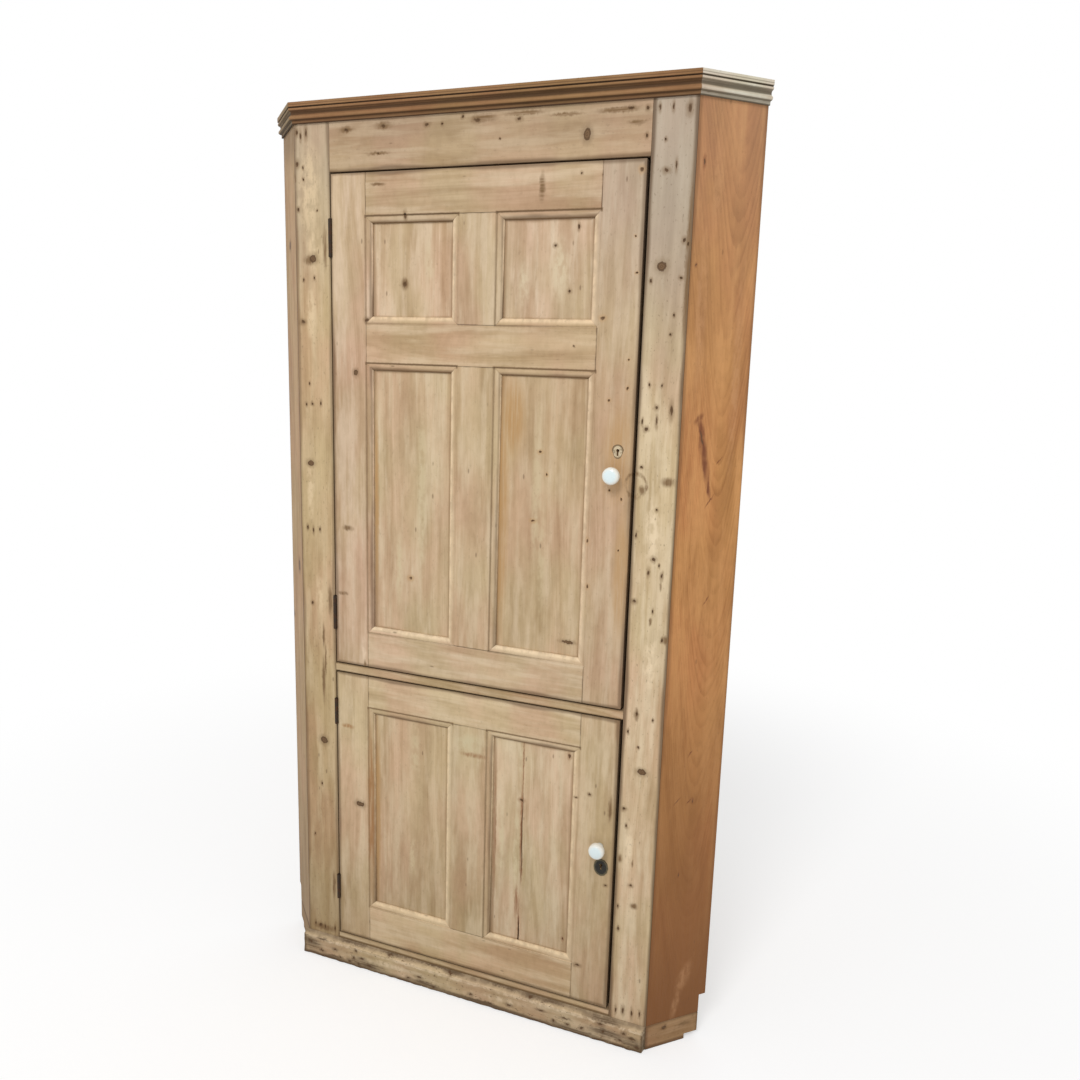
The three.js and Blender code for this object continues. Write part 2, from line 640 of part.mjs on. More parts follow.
function muntinTenons(muntin, clearance) {
  const left = muntin.x0 + TENON_SHOULDER;
  const right = muntin.x1 - TENON_SHOULDER;
  return [
    frameTenonBlock(left, right, muntin.z0 - MUNTIN_TENON, muntin.z0 + OVERRUN, clearance),
    frameTenonBlock(left, right, muntin.z1 - OVERRUN, muntin.z1 + MUNTIN_TENON, clearance),
  ];
}

function doorRails(door, layout, columns) {
  const spans = columns.map((column) => [column.left, column.right]);
  const x0 = columns[0].left + FIT;
  const x1 = columns[1].right - FIT;
  const bottomRail = { name: 'bottom_rail', face: { x0, x1, z0: door.bottom, z1: layout.panelBottom },
    strips: { top: spans } };
  const topRail = { name: 'top_rail', face: { x0, x1, z0: layout.panelTop, z1: door.top },
    strips: { bottom: spans } };
  if (door === LOWER_DOOR) {
    return [bottomRail, topRail];
  }
  const [tallRow, smallRow] = layout.rows;
  const crossRail = { name: 'cross_rail', face: { x0, x1, z0: tallRow.top, z1: smallRow.bottom },
    strips: { top: spans, bottom: spans } };
  return [bottomRail, crossRail, topRail];
}

function doorMuntins(door, layout, columns) {
  const names = door === UPPER_DOOR ? ['lower_muntin', 'upper_muntin'] : ['muntin'];
  return layout.rows.map((row, i) => {
    const face = { x0: columns[0].right, x1: columns[1].left, z0: row.bottom + FIT, z1: row.top - FIT };
    return { name: names[i], face, strips: { left: [[row.bottom, row.top]], right: [[row.bottom, row.top]] } };
  });
}

function buildDoor(door, lock, knob) {
  const layout = doorLayout(door);
  const columns = doorColumns();
  const rails = doorRails(door, layout, columns);
  const muntins = doorMuntins(door, layout, columns);
  const openings = layout.rows.flatMap((row) => columns.flatMap((column) => openingCutters(column, row)));
  const rowSpans = layout.rows.map((row) => [row.bottom, row.top]);
  const member = ({ face, strips }) => {
    return subtractAll(toSolid(facing(memberOutline(face, strips), 0, FRONT_THICKNESS)), openings);
  };

  const stiles = [
    { name: 'hinge_stile', strips: { right: rowSpans }, cutters: HINGES.filter((hinge) => hinge.door === door)
      .flatMap((hinge) => hingeSeatCutters(hinge, 1)),
    face: { x0: DOOR_LEFT, x1: columns[0].left, z0: door.bottom, z1: door.top } },
    { name: 'lock_stile', strips: { left: rowSpans }, cutters: lockStileCutters(lock, knob),
      face: { x0: columns[1].right, x1: DOOR_RIGHT, z0: door.bottom, z1: door.top } },
  ];
  stiles.forEach((stile, i) => {
    const mortises = rails.map((rail) => railTenons(rail.face, FIT)[i]);
    addPiece(`${door.name}_${stile.name}`, subtractAll(member(stile), [...mortises, ...stile.cutters]), 'front_pine');
  });

  const mortises = muntins.flatMap((muntin) => muntinTenons(muntin.face, FIT));
  for (const rail of rails) {
    const cut = subtractAll(member(rail), mortises);
    const tenoned = railTenons(rail.face, 0).reduce((whole, tenon) => whole.add(tenon), cut);
    addPiece(`${door.name}_${rail.name}`, tenoned, 'front_pine');
  }
  for (const muntin of muntins) {
    const tenoned = muntinTenons(muntin.face, 0).reduce((whole, tenon) => whole.add(tenon), member(muntin));
    addPiece(`${door.name}_${muntin.name}`, tenoned, 'front_pine');
  }
  for (const row of layout.rows) {
    for (const column of columns) {
      addPiece(`${row.name}_${column.name}_panel`, panelBlock(column, row, FIT), 'front_pine');
    }
  }
}

// Butt hinges, let into the stile on one side and the door on the other

function hingeSeatCutters(hinge, side) {
  const half = hinge.length / 2 + FIT;
  const edge = PIN_X + side * HINGE_GAP / 2;
  const seat = edge + side * (LEAF_THICKNESS + FIT);
  const x0 = Math.min(PIN_X, seat);
  const x1 = Math.max(PIN_X, seat);
  const reach = KNUCKLE_RADIUS + FIT * 2;
  return [
    block(x0, x1, -OVERRUN, LEAF_DEPTH + FIT, hinge.z - half, hinge.z + half),
    upright(PIN_X, -PIN_FORWARD, reach, hinge.z - half - PIN_PROUD, hinge.z + half + PIN_PROUD, true),
  ];
}

function hingeLeaf(hinge, side, ownKnuckles) {
  const bottom = hinge.z - hinge.length / 2;
  const top = hinge.z + hinge.length / 2;
  const near = PIN_X + side * HINGE_GAP / 2;
  const far = near + side * LEAF_THICKNESS;
  let leaf = block(Math.min(near, far), Math.max(near, far), -PIN_FORWARD, LEAF_DEPTH, bottom, top);
  const pitch = hinge.length / KNUCKLE_COUNT;
  for (let i = 0; i < KNUCKLE_COUNT; i += 1) {
    const from = bottom + pitch * i;
    if (ownKnuckles(i)) {
      const low = from + (i === 0 ? 0 : FIT / 2);
      const high = from + pitch - (i === KNUCKLE_COUNT - 1 ? 0 : FIT / 2);
      leaf = leaf.add(upright(PIN_X, -PIN_FORWARD, KNUCKLE_RADIUS, low, high, false));
    } else {
      const low = from - FIT / 2;
      const high = from + pitch + FIT / 2;
      leaf = leaf.subtract(upright(PIN_X, -PIN_FORWARD, KNUCKLE_RADIUS + FIT, low, high, true));
    }
  }
  const bore = PIN_RADIUS + PIN_CLEARANCE;
  return leaf.subtract(upright(PIN_X, -PIN_FORWARD, bore, bottom - OVERRUN, top + OVERRUN, true));
}

function buildHinges() {
  for (const hinge of HINGES) {
    const reach = hinge.length / 2 + PIN_PROUD;
    addPiece(`${hinge.name}_frame_leaf`, hingeLeaf(hinge, -1, (i) => i % 2 === 0), 'iron');
    addPiece(`${hinge.name}_door_leaf`, hingeLeaf(hinge, 1, (i) => i % 2 === 1), 'iron');
    const pin = upright(PIN_X, -PIN_FORWARD, PIN_RADIUS, hinge.z - reach, hinge.z + reach, false);
    addPiece(`${hinge.name}_pin`, pin, 'iron');
  }
}

// Knobs, keyholes and locks

// A round eye with a slot below it, grown all round by the margin given
function keyholeShape(place, margin) {
  const eye = KEYHOLE_RADIUS + margin;
  const half = KEYHOLE_SLOT_WIDTH / 2 + margin;
  const meet = Math.asin(half / eye);
  const shape = new THREE.Shape();
  shape.moveTo(place.x - half, place.z - KEYHOLE_SLOT_LENGTH - margin);
  shape.lineTo(place.x + half, place.z - KEYHOLE_SLOT_LENGTH - margin);
  shape.absarc(place.x, place.z, eye, meet - Math.PI / 2, Math.PI * 3 / 2 - meet, false);
  shape.closePath();
  return shape;
}

function keyholeCutter(place, front, back) {
  return toSolid(facing(keyholeShape(place, 0), front, back));
}

// The upper escutcheon is pear-shaped: a round head that draws in to a narrower foot
function pearShape(place, margin) {
  const head = INLAID_WIDTH / 2 + margin;
  const foot = INLAID_WIDTH / 3 + margin;
  const drop = INLAID_HEIGHT - INLAID_WIDTH / 2 - INLAID_WIDTH / 3;
  const shape = new THREE.Shape();
  shape.absarc(place.x, place.z, head, 0, Math.PI, false);
  shape.absarc(place.x, place.z - drop, foot, Math.PI, Math.PI * 2, false);
  shape.closePath();
  return shape;
}

function ovalShape(place) {
  const shape = new THREE.Shape();
  const middle = place.z - KEYHOLE_SLOT_LENGTH / 2;
  shape.absellipse(place.x, middle, OVAL_WIDTH / 2, OVAL_HEIGHT / 2, 0, Math.PI * 2, false);
  return shape;
}

function lockStileCutters(lock, knob) {
  const back = FRONT_THICKNESS + OVERRUN;
  const spindle = new THREE.CylinderGeometry(
    SPINDLE_RADIUS + FIT, SPINDLE_RADIUS + FIT, back + OVERRUN, KNOB_SIDES,
  );
  spindle.translate(knob.x, (back - OVERRUN) / 2, knob.z);
  const cutters = [keyholeCutter(lock, -OVERRUN, back), toSolid(spindle)];
  if (lock === UPPER_LOCK) {
    const depth = INLAID_THICKNESS - INLAID_PROUD + FIT;
    cutters.push(toSolid(facing(pearShape(lock, FIT), -OVERRUN, depth)));
  }
  return cutters;
}

function buildEscutcheons() {
  const inlaid = toSolid(facing(pearShape(UPPER_LOCK, 0), -INLAID_PROUD, INLAID_THICKNESS - INLAID_PROUD));
  const through = INLAID_THICKNESS + OVERRUN;
  addPiece('upper_escutcheon', inlaid.subtract(keyholeCutter(UPPER_LOCK, -OVERRUN, through)), 'brass');
  const oval = toSolid(facing(ovalShape(LOWER_LOCK), -FIT - OVAL_THICKNESS, -FIT));
  const front = -FIT - OVAL_THICKNESS - OVERRUN;
  addPiece('lower_escutcheon', oval.subtract(keyholeCutter(LOWER_LOCK, front, OVERRUN)), 'iron');
}

// A number's power with its sign kept, which flattens a circle's quarters alike
function signedPower(value, power) {
  return Math.sign(value) * Math.abs(value) ** power;
}

// A ceramic knob turned round its spindle: a small foot, a waist, and a head with a flattened front
function knobProfile() {
  const radius = KNOB_DIAMETER / 2;
  const headHalf = KNOB_HEAD_DEPTH / 2;
  const headMiddle = KNOB_PROJECTION - headHalf - FIT;
  const start = -Math.acos((KNOB_NECK_RADIUS / radius) ** (1 / KNOB_HEAD_SQUARENESS));
  const points = [
    [0, -FRONT_THICKNESS - SPINDLE_PROUD], [SPINDLE_RADIUS, -FRONT_THICKNESS - SPINDLE_PROUD],
    [SPINDLE_RADIUS, 0], [KNOB_FOOT_RADIUS, 0], [KNOB_FOOT_RADIUS, KNOB_FOOT_HEIGHT],
    [KNOB_NECK_RADIUS, KNOB_FOOT_HEIGHT * 2],
  ];
  const steps = CURVE_STEPS * 2;
  for (let i = 0; i <= steps; i += 1) {
    const turn = start + (Math.PI / 2 - start) * i / steps;
    const reach = i === steps ? 0 : radius * signedPower(Math.cos(turn), KNOB_HEAD_SQUARENESS);
    points.push([reach, headMiddle + headHalf * signedPower(Math.sin(turn), KNOB_HEAD_SQUARENESS)]);
  }
  return points.map(([reach, out]) => new THREE.Vector2(reach, out));
}

function buildKnobs() {
  for (const knob of [UPPER_KNOB, LOWER_KNOB]) {
    const geometry = new THREE.LatheGeometry(knobProfile(), KNOB_SIDES);
    geometry.rotateX(Math.PI);
    addPiece(knob.name, toSolid(geometry.translate(knob.x, -FIT, knob.z)), 'ceramic');
  }
}

// Each lock is screwed to the back of its door; its bolt slides out behind the right stile
function buildLocks() {
  for (const lock of [UPPER_LOCK, LOWER_LOCK]) {
    const front = FRONT_THICKNESS + FIT;
    const back = front + LOCK_DEPTH;
    const right = DOOR_RIGHT - LOCK_EDGE_SETBACK;
    const bottom = lock.z - LOCK_BELOW_KEY;
    const boltFront = front + (LOCK_DEPTH - BOLT_THICKNESS) / 2;
    const boltBack = boltFront + BOLT_THICKNESS;
    const boltBottom = lock.z + BOLT_ABOVE_KEY - BOLT_HEIGHT / 2;
    const boltTop = boltBottom + BOLT_HEIGHT;
    const left = right - BOLT_LENGTH;
    const channel = block(
      left - FIT, right + OVERRUN, boltFront - FIT, boltBack + FIT, boltBottom - FIT, boltTop + FIT,
    );
    const box = block(right - LOCK_WIDTH, right, front, back, bottom, bottom + LOCK_HEIGHT);
    const keyway = keyholeCutter(lock, front - OVERRUN, front + LOCK_DEPTH / 2);
    addPiece(`${lock.name}_case`, box.subtract(channel).subtract(keyway), 'iron');
    addPiece(`${lock.name}_bolt`, block(left, right, boltFront, boltBack, boltBottom, boltTop), 'iron');
  }
}

buildFrontFrame();
buildReturns();
buildBackBoards();
buildShelves();
buildCornice();
buildPlinth();
buildDoor(UPPER_DOOR, UPPER_LOCK, UPPER_KNOB);
buildDoor(LOWER_DOOR, LOWER_LOCK, LOWER_KNOB);
buildHinges();
buildEscutcheons();
buildKnobs();
buildLocks();

// The origin is on the floor, at the middle of the whole cupboard's length and depth
const backEdge = BACK_CORNER_Y - SCRIBE_MARGIN / CANT;
cupboard.position.y = (KNOB_PROJECTION - backEdge) / 2;

export default cupboard;
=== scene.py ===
# A stripped pine corner cupboard, dressed piece by piece in the order in which it is put together.
# Lengths are in metres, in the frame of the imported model: X to the right, Y back into the corner, Z up. Only
# the tables of marks on the boards are in millimetres.

import json
import math
import random

import bmesh
import bpy
from mathutils import Matrix, Vector

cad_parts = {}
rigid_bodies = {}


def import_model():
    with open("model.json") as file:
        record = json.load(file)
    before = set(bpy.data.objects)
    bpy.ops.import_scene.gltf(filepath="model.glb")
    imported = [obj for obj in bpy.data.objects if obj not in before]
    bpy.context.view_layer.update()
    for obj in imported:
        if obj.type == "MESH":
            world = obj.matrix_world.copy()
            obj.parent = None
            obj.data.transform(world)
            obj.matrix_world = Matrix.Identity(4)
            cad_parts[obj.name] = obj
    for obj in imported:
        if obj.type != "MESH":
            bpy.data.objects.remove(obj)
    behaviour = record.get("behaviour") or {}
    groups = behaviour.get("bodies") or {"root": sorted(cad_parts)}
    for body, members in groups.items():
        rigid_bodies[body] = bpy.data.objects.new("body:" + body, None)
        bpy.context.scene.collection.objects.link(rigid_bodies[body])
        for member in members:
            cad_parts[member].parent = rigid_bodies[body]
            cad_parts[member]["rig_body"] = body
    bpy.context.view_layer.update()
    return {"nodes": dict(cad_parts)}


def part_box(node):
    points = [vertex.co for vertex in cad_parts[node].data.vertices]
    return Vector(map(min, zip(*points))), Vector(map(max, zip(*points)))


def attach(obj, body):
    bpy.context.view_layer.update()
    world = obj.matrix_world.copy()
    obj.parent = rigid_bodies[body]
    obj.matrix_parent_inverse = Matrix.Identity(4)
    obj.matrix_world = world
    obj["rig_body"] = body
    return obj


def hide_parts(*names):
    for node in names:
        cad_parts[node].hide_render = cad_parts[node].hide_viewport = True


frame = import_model()
bpy.context.scene.view_settings.view_transform = "Standard"

# Camera
# It stands a little to the right of the cupboard at a tall person's eye height, looks slightly down and to
# the left, and is held about two degrees off level, as the photograph was taken.
CAMERA_PLACE = Vector((0.8642, -2.1048, 1.5206))
CAMERA_LENS_MM = 31.0
CAMERA_YAW = math.radians(21.41)
CAMERA_PITCH = math.radians(-11.13)
CAMERA_ROLL = math.radians(1.72)

camera = bpy.data.objects.new("camera", bpy.data.cameras.new("camera"))
bpy.context.scene.collection.objects.link(camera)
camera.data.lens = CAMERA_LENS_MM
facing = Matrix.Rotation(CAMERA_YAW, 4, "Z") @ Matrix.Rotation(math.pi / 2 + CAMERA_PITCH, 4, "X")
camera.matrix_world = Matrix.Translation(CAMERA_PLACE) @ facing @ Matrix.Rotation(CAMERA_ROLL, 4, "Z")
bpy.context.scene.camera = camera

# Studio
# A white floor runs out into a white background. One broad lamp hangs high in front, so the cupboard's head
# is a little brighter than its foot, and the world fills the shadows.
FLOOR_HALF = 12.0
FLOOR_DROP = 0.0005
FLOOR_SHADE_NEAR = 1.0
FLOOR_SHADE_FAR = 2.6
FLOOR_PAINT = 0.6
FLOOR_GLOW = 0.50
WORLD_LEVEL = 0.56
KEY_LEVEL = 350.0
KEY_SIZE = 3.2
KEY_PLACE = Vector((0.2, -7.0, 7.4))
KEY_AIM = Vector((0.0, -0.2, 1.0))


class Finish:
    """A shader put together from small steps, each of which gives the socket that the next one takes."""

    def __init__(self, name):
        self.material = bpy.data.materials.new(name)
        self.material.use_nodes = True
        self.tree = self.material.node_tree
        self.shader = self.tree.nodes["Principled BSDF"]
        self.place = self.add("TexCoord").outputs["Object"]

    def add(self, kind, *values, **settings):
        """A node with its settings, and with the values fed to its inputs in their order."""
        node = self.tree.nodes.new("ShaderNode" + kind)
        for name, value in settings.items():
            setattr(node, name, value)
        for socket, value in zip(node.inputs, values):
            self.feed(socket, value)
        return node

    def feed(self, socket, value):
        if isinstance(value, bpy.types.NodeSocket):
            self.tree.links.new(value, socket)
        elif value is not None:
            socket.default_value = value

    def sum(self, operation, *terms):
        return self.add("Math", *terms, operation=operation).outputs[0]

    def times(self, first, second):
        return self.sum("MULTIPLY", first, second)

    def away(self, value, place):
        """How far a value is from a place on its axis, on either side of it."""
        return self.sum("ABSOLUTE", self.sum("SUBTRACT", value, place))

    def vector(self, operation, *terms):
        node = self.add("VectorMath", *terms, operation=operation)
        return node.outputs["Value" if operation in ("LENGTH", "DOT_PRODUCT") else "Vector"]

    def part(self, vector, axis):
        return self.add("SeparateXYZ", vector).outputs[axis]

    def noise(self, vector, scale, detail=2.0, roughness=0.5, output="Fac"):
        """Cloudy noise, as fine along each axis as the scale says."""
        scaled = self.vector("MULTIPLY", vector, scale)
        return self.add("TexNoise", scaled, None, 1.0, detail, roughness).outputs[output]

    def range(self, value, low, high, to_low=0.0, to_high=1.0):
        node = self.add("MapRange", value, low, high, to_low, to_high, interpolation_type="SMOOTHSTEP")
        return node.outputs["Result"]

    def mix(self, share, first, second, blend="MIX"):
        node = self.add("Mix", share, data_type="RGBA", blend_type=blend)
        self.feed(node.inputs[6], first)
        self.feed(node.inputs[7], second)
        return node.outputs[2]

    def surface(self, colour, roughness, bump, relief, settings):
        """The material, once its shader has its colour, roughness, relief at the strength and depth that bump
        gives, and other settings by name."""
        self.feed(self.shader.inputs["Base Color"], colour)
        self.feed(self.shader.inputs["Roughness"], roughness)
        self.feed(self.shader.inputs["Normal"], self.add("Bump", *bump, None, relief).outputs[0])
        for name, value in settings.items():
            self.shader.inputs[name].default_value = value
        return self.material

    def spots(self, vector, places, up_axis):
        """How near the nearest oval is: 1 at its rim, less within. Each place is across, up, half width, half
        height and, for an oval that leans, how far aside it goes for each step up."""
        nearest = None
        for across, up, half_width, half_height, *lean in places:
            scale = [1 / half_width, 0, 0]
            rise = [0, 0, 0]
            rise[up_axis] = 1 / half_height
            if lean:
                scale[up_axis] = -lean[0] / half_width
                aside = self.sum("ADD", self.vector("DOT_PRODUCT", vector, scale),
                                 (lean[0] * up - across) / half_width)
                above = self.sum("ADD", self.vector("DOT_PRODUCT", vector, rise), -up / half_height)
                reach = self.vector("LENGTH", self.add("CombineXYZ", aside, above).outputs[0])
            else:
                offset = [-across / half_width, 0, 0]
                offset[up_axis] = -up / half_height
                scale[up_axis] = rise[up_axis]
                reach = self.vector("LENGTH", self.vector("MULTIPLY_ADD", vector, scale, offset))
            nearest = reach if nearest is None else self.sum("MINIMUM", nearest, reach)
        return nearest

    def border(self, vector, low, high, up_axis):
        """How far a place lies outside an upright or a level rectangle, below zero when it is inside."""
        half = (high - low) / 2
        size = Vector((half.x, 0, 0))
        size[up_axis] = half[up_axis]
        away = self.vector("ABSOLUTE", self.vector("SUBTRACT", vector, tuple((low + high) / 2)))
        away = self.add("SeparateXYZ", self.vector("SUBTRACT", away, tuple(size)))
        return self.sum("MAXIMUM", away.outputs[0], away.outputs[up_axis])


def srgb(red, green, blue):
    """A colour as a paint chart gives it, 0 to 255, in the shader's own numbers."""
    parts = [min(part, 255) / 255 for part in (red, green, blue)]
    return tuple(p / 12.92 if p <= 0.04045 else ((p + 0.055) / 1.055) ** 2.4 for p in parts) + (1,)


def seen_rays(tree):
    """One for what the camera sees, straight, mirrored or through glass, and nothing for what lights the
    object."""
    rays = tree.nodes.new("ShaderNodeLightPath")
    seen = rays.outputs["Is Camera Ray"]
    for name in ("Is Glossy Ray", "Is Transmission Ray"):
        either = tree.nodes.new("ShaderNodeMath")
        either.operation = "MAXIMUM"
        tree.links.new(seen, either.inputs[0])
        tree.links.new(rays.outputs[name], either.inputs[1])
        seen = either.outputs[0]
    return seen


world = bpy.data.worlds.new("studio")
bpy.context.scene.world = world
world.use_nodes = True
level = world.node_tree.nodes.new("ShaderNodeMapRange")
level.inputs["To Min"].default_value = WORLD_LEVEL
world.node_tree.links.new(seen_rays(world.node_tree), level.inputs["Value"])
world.node_tree.nodes["Background"].inputs["Color"].default_value = (1, 1, 1, 1)
world.node_tree.links.new(level.outputs["Result"], world.node_tree.nodes["Background"].inputs["Strength"])

key = bpy.data.objects.new("key_lamp", bpy.data.lights.new("key_lamp", "AREA"))
bpy.context.scene.collection.objects.link(key)
key.data.shape = "DISK"
key.data.size = KEY_SIZE
key.data.energy = KEY_LEVEL
key.location = KEY_PLACE
key.rotation_euler = (KEY_AIM - KEY_PLACE).to_track_quat("-Z", "Y").to_euler()

bpy.ops.object.select_all(action="DESELECT")
bpy.ops.mesh.primitive_plane_add(size=FLOOR_HALF * 2, location=(0, 0, -FLOOR_DROP))
floor = bpy.context.object
floor.name = "floor"
bpy.ops.object.transform_apply(location=True)
floor_paint = Finish("floor_paint")
floor_paint.shader.inputs["Base Color"].default_value = (FLOOR_PAINT, FLOOR_PAINT, FLOOR_PAINT, 1)
floor_paint.shader.inputs["Roughness"].default_value = 1.0
floor_paint.shader.inputs["Specular IOR Level"].default_value = 0.0
glow = floor_paint.add("Emission", (1, 1, 1, 1), 1.0)
faint_glow = floor_paint.add("Emission", (1, 1, 1, 1), FLOOR_GLOW)
seen_glow = floor_paint.add("MixShader", seen_rays(floor_paint.tree))
floor_paint.feed(seen_glow.inputs[1], floor_paint.add("Emission", (0, 0, 0, 1), 0.0).outputs[0])
floor_paint.feed(seen_glow.inputs[2], faint_glow.outputs[0])
near = floor_paint.add("AddShader", floor_paint.shader.outputs[0], seen_glow.outputs[0])
far = floor_paint.range(floor_paint.vector("LENGTH", floor_paint.place), FLOOR_SHADE_NEAR, FLOOR_SHADE_FAR)
both = floor_paint.add("MixShader", far, near.outputs[0], glow.outputs[0])
floor_paint.feed(floor_paint.tree.nodes["Material Output"].inputs["Surface"], both.outputs[0])
floor.data.materials.append(floor_paint.material)

# Front frame
# Two pine stiles run from the cornice to the floor, with a frieze rail tenoned between them. They were once
# painted and have been stripped, so the wood is pale and dry, with bored nail holes and dirt in its hollows.
ARRIS_WIDTH = 0.0009
SHORTEST_ARRIS = 0.006
SHARP_ANGLE = math.radians(35)
BOARD_SMOOTHING = 50
WELD_DISTANCE = 0.00001
FLAT_ANGLE = math.radians(0.5)
UPRIGHT = (0, 0, 0)
LEVEL = (0, math.pi / 2, 0)
LYING = tuple(Matrix(((0, 1, 0), (0, 0, 1), (1, 0, 0))).to_euler())

HOLE_DEPTH = 0.0020
HOLE_FLOOR_SHARE = 0.45
HOLE_MOUTH_SHARE = 1.35
SMALLEST_BORE = 0.0020
CRACK_STEPS = 36
CRACK_WANDER = 0.0007
CRACK_TIP_SHARE = 0.08
CRACK_FULLNESS = 0.7
CRACK_BENDS = ((37, 1.0), (101, 0.5))
MM_IN_A_METRE = 1000

PINE_KNOT = srgb(126, 97, 68)
PINE_BARK = srgb(82, 58, 36)
PINE_HOLE = srgb(92, 66, 42)
PINE_SMEAR = srgb(122, 94, 62)
PINE_GREY = srgb(164, 155, 144)
YELLOWER = (0.972, 1.005, 0.925, 1)
PINKER = (1.03, 0.967, 0.958, 1)
MOTTLED = (0.83, 0.805, 0.765, 1)
BLOTCHED = (0.88, 0.865, 0.835, 1)
FIBROUS = (0.82, 0.78, 0.72, 1)
# Shares of the painted highlight on moulding slopes that look left and right.
LEFT_RUB_SHARE = 0.9
RIGHT_RUB_SHARE = 0.22
# How much of the edge darkening a panel shows at its left, right, head and foot: the difference is painted
# shade.
EDGE_DIRT_SHOWN = (1.0, 0.75, 0.6, 0.3)


def select_only(*pieces):
    """Selects these pieces alone, and makes the first of them active."""
    bpy.ops.object.select_all(action="DESELECT")
    for piece in pieces:
        piece.select_set(True)
    bpy.context.view_layer.objects.active = pieces[0]


def join(pieces):
    """One piece made of several."""
    select_only(*pieces)
    if len(pieces) > 1:
        bpy.ops.object.join()
    return pieces[0]


def take_copy(node, name):
    """A copy of a CAD piece as one welded shell with its flat faces made whole, left in edit mode."""
    piece = bpy.data.objects.new(name, frame["nodes"][node].data.copy())
    bpy.context.scene.collection.objects.link(piece)
    select_only(piece)
    piece.data.materials.clear()
    bpy.ops.mesh.customdata_custom_splitnormals_clear()
    bpy.ops.object.mode_set(mode="EDIT")
    bpy.ops.mesh.select_mode(type="EDGE")
    bpy.ops.mesh.select_all(action="SELECT")
    bpy.ops.mesh.remove_doubles(threshold=WELD_DISTANCE)
    bpy.ops.mesh.dissolve_limited(angle_limit=FLAT_ANGLE)
    return piece


def ease_arrises(piece, width, shortest, segments=2):
    """Rounds the long outside edges, as a plane and years of hands do, and goes back to object mode."""
    bpy.ops.mesh.select_all(action="DESELECT")
    shell = bmesh.from_edit_mesh(piece.data)
    for edge in shell.edges:
        is_sharp = edge.is_manifold and edge.calc_face_angle() > SHARP_ANGLE
        if is_sharp and edge.is_convex and edge.calc_length() > shortest:
            edge.select_set(True)
    bmesh.update_edit_mesh(piece.data)
    bpy.ops.mesh.bevel(offset=width, segments=segments, profile=0.5, affect="EDGES", clamp_overlap=False)
    bpy.ops.object.mode_set(mode="OBJECT")


def smooth(piece, angle):
    """Soft shading over rounded edges, with the flat faces kept flat."""
    bpy.ops.object.shade_smooth_by_angle(angle=math.radians(angle))
    weighting = piece.modifiers.new("weighting", "WEIGHTED_NORMAL")
    weighting.keep_sharp = True
    bpy.ops.object.modifier_apply(modifier=weighting.name)


def put_in_place(piece, node, material, angle=40):
    """Shades the piece, gives it its material and the CAD node's place and body, and hides the CAD node."""
    smooth(piece, angle)
    piece.data.materials.append(material)
    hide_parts(node)
    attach(piece, frame["nodes"][node]["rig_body"])


def board_reach(node, turn):
    """A board's lowest and highest corner, seen square on when the board is turned in plan."""
    corners = [Matrix.Rotation(-turn, 3, "Z") @ v.co for v in frame["nodes"][node].data.vertices]
    low = Vector([min(c[axis] for c in corners) for axis in range(3)])
    high = Vector([max(c[axis] for c in corners) for axis in range(3)])
    return low, high


def in_metres(marks, start=0.0):
    """Marks with their places and sizes turned from millimetres to metres, and moved across to the start."""
    return [(start + across / MM_IN_A_METRE, *(size / MM_IN_A_METRE for size in sizes[:3]), *sizes[3:])
            for across, *sizes in marks]


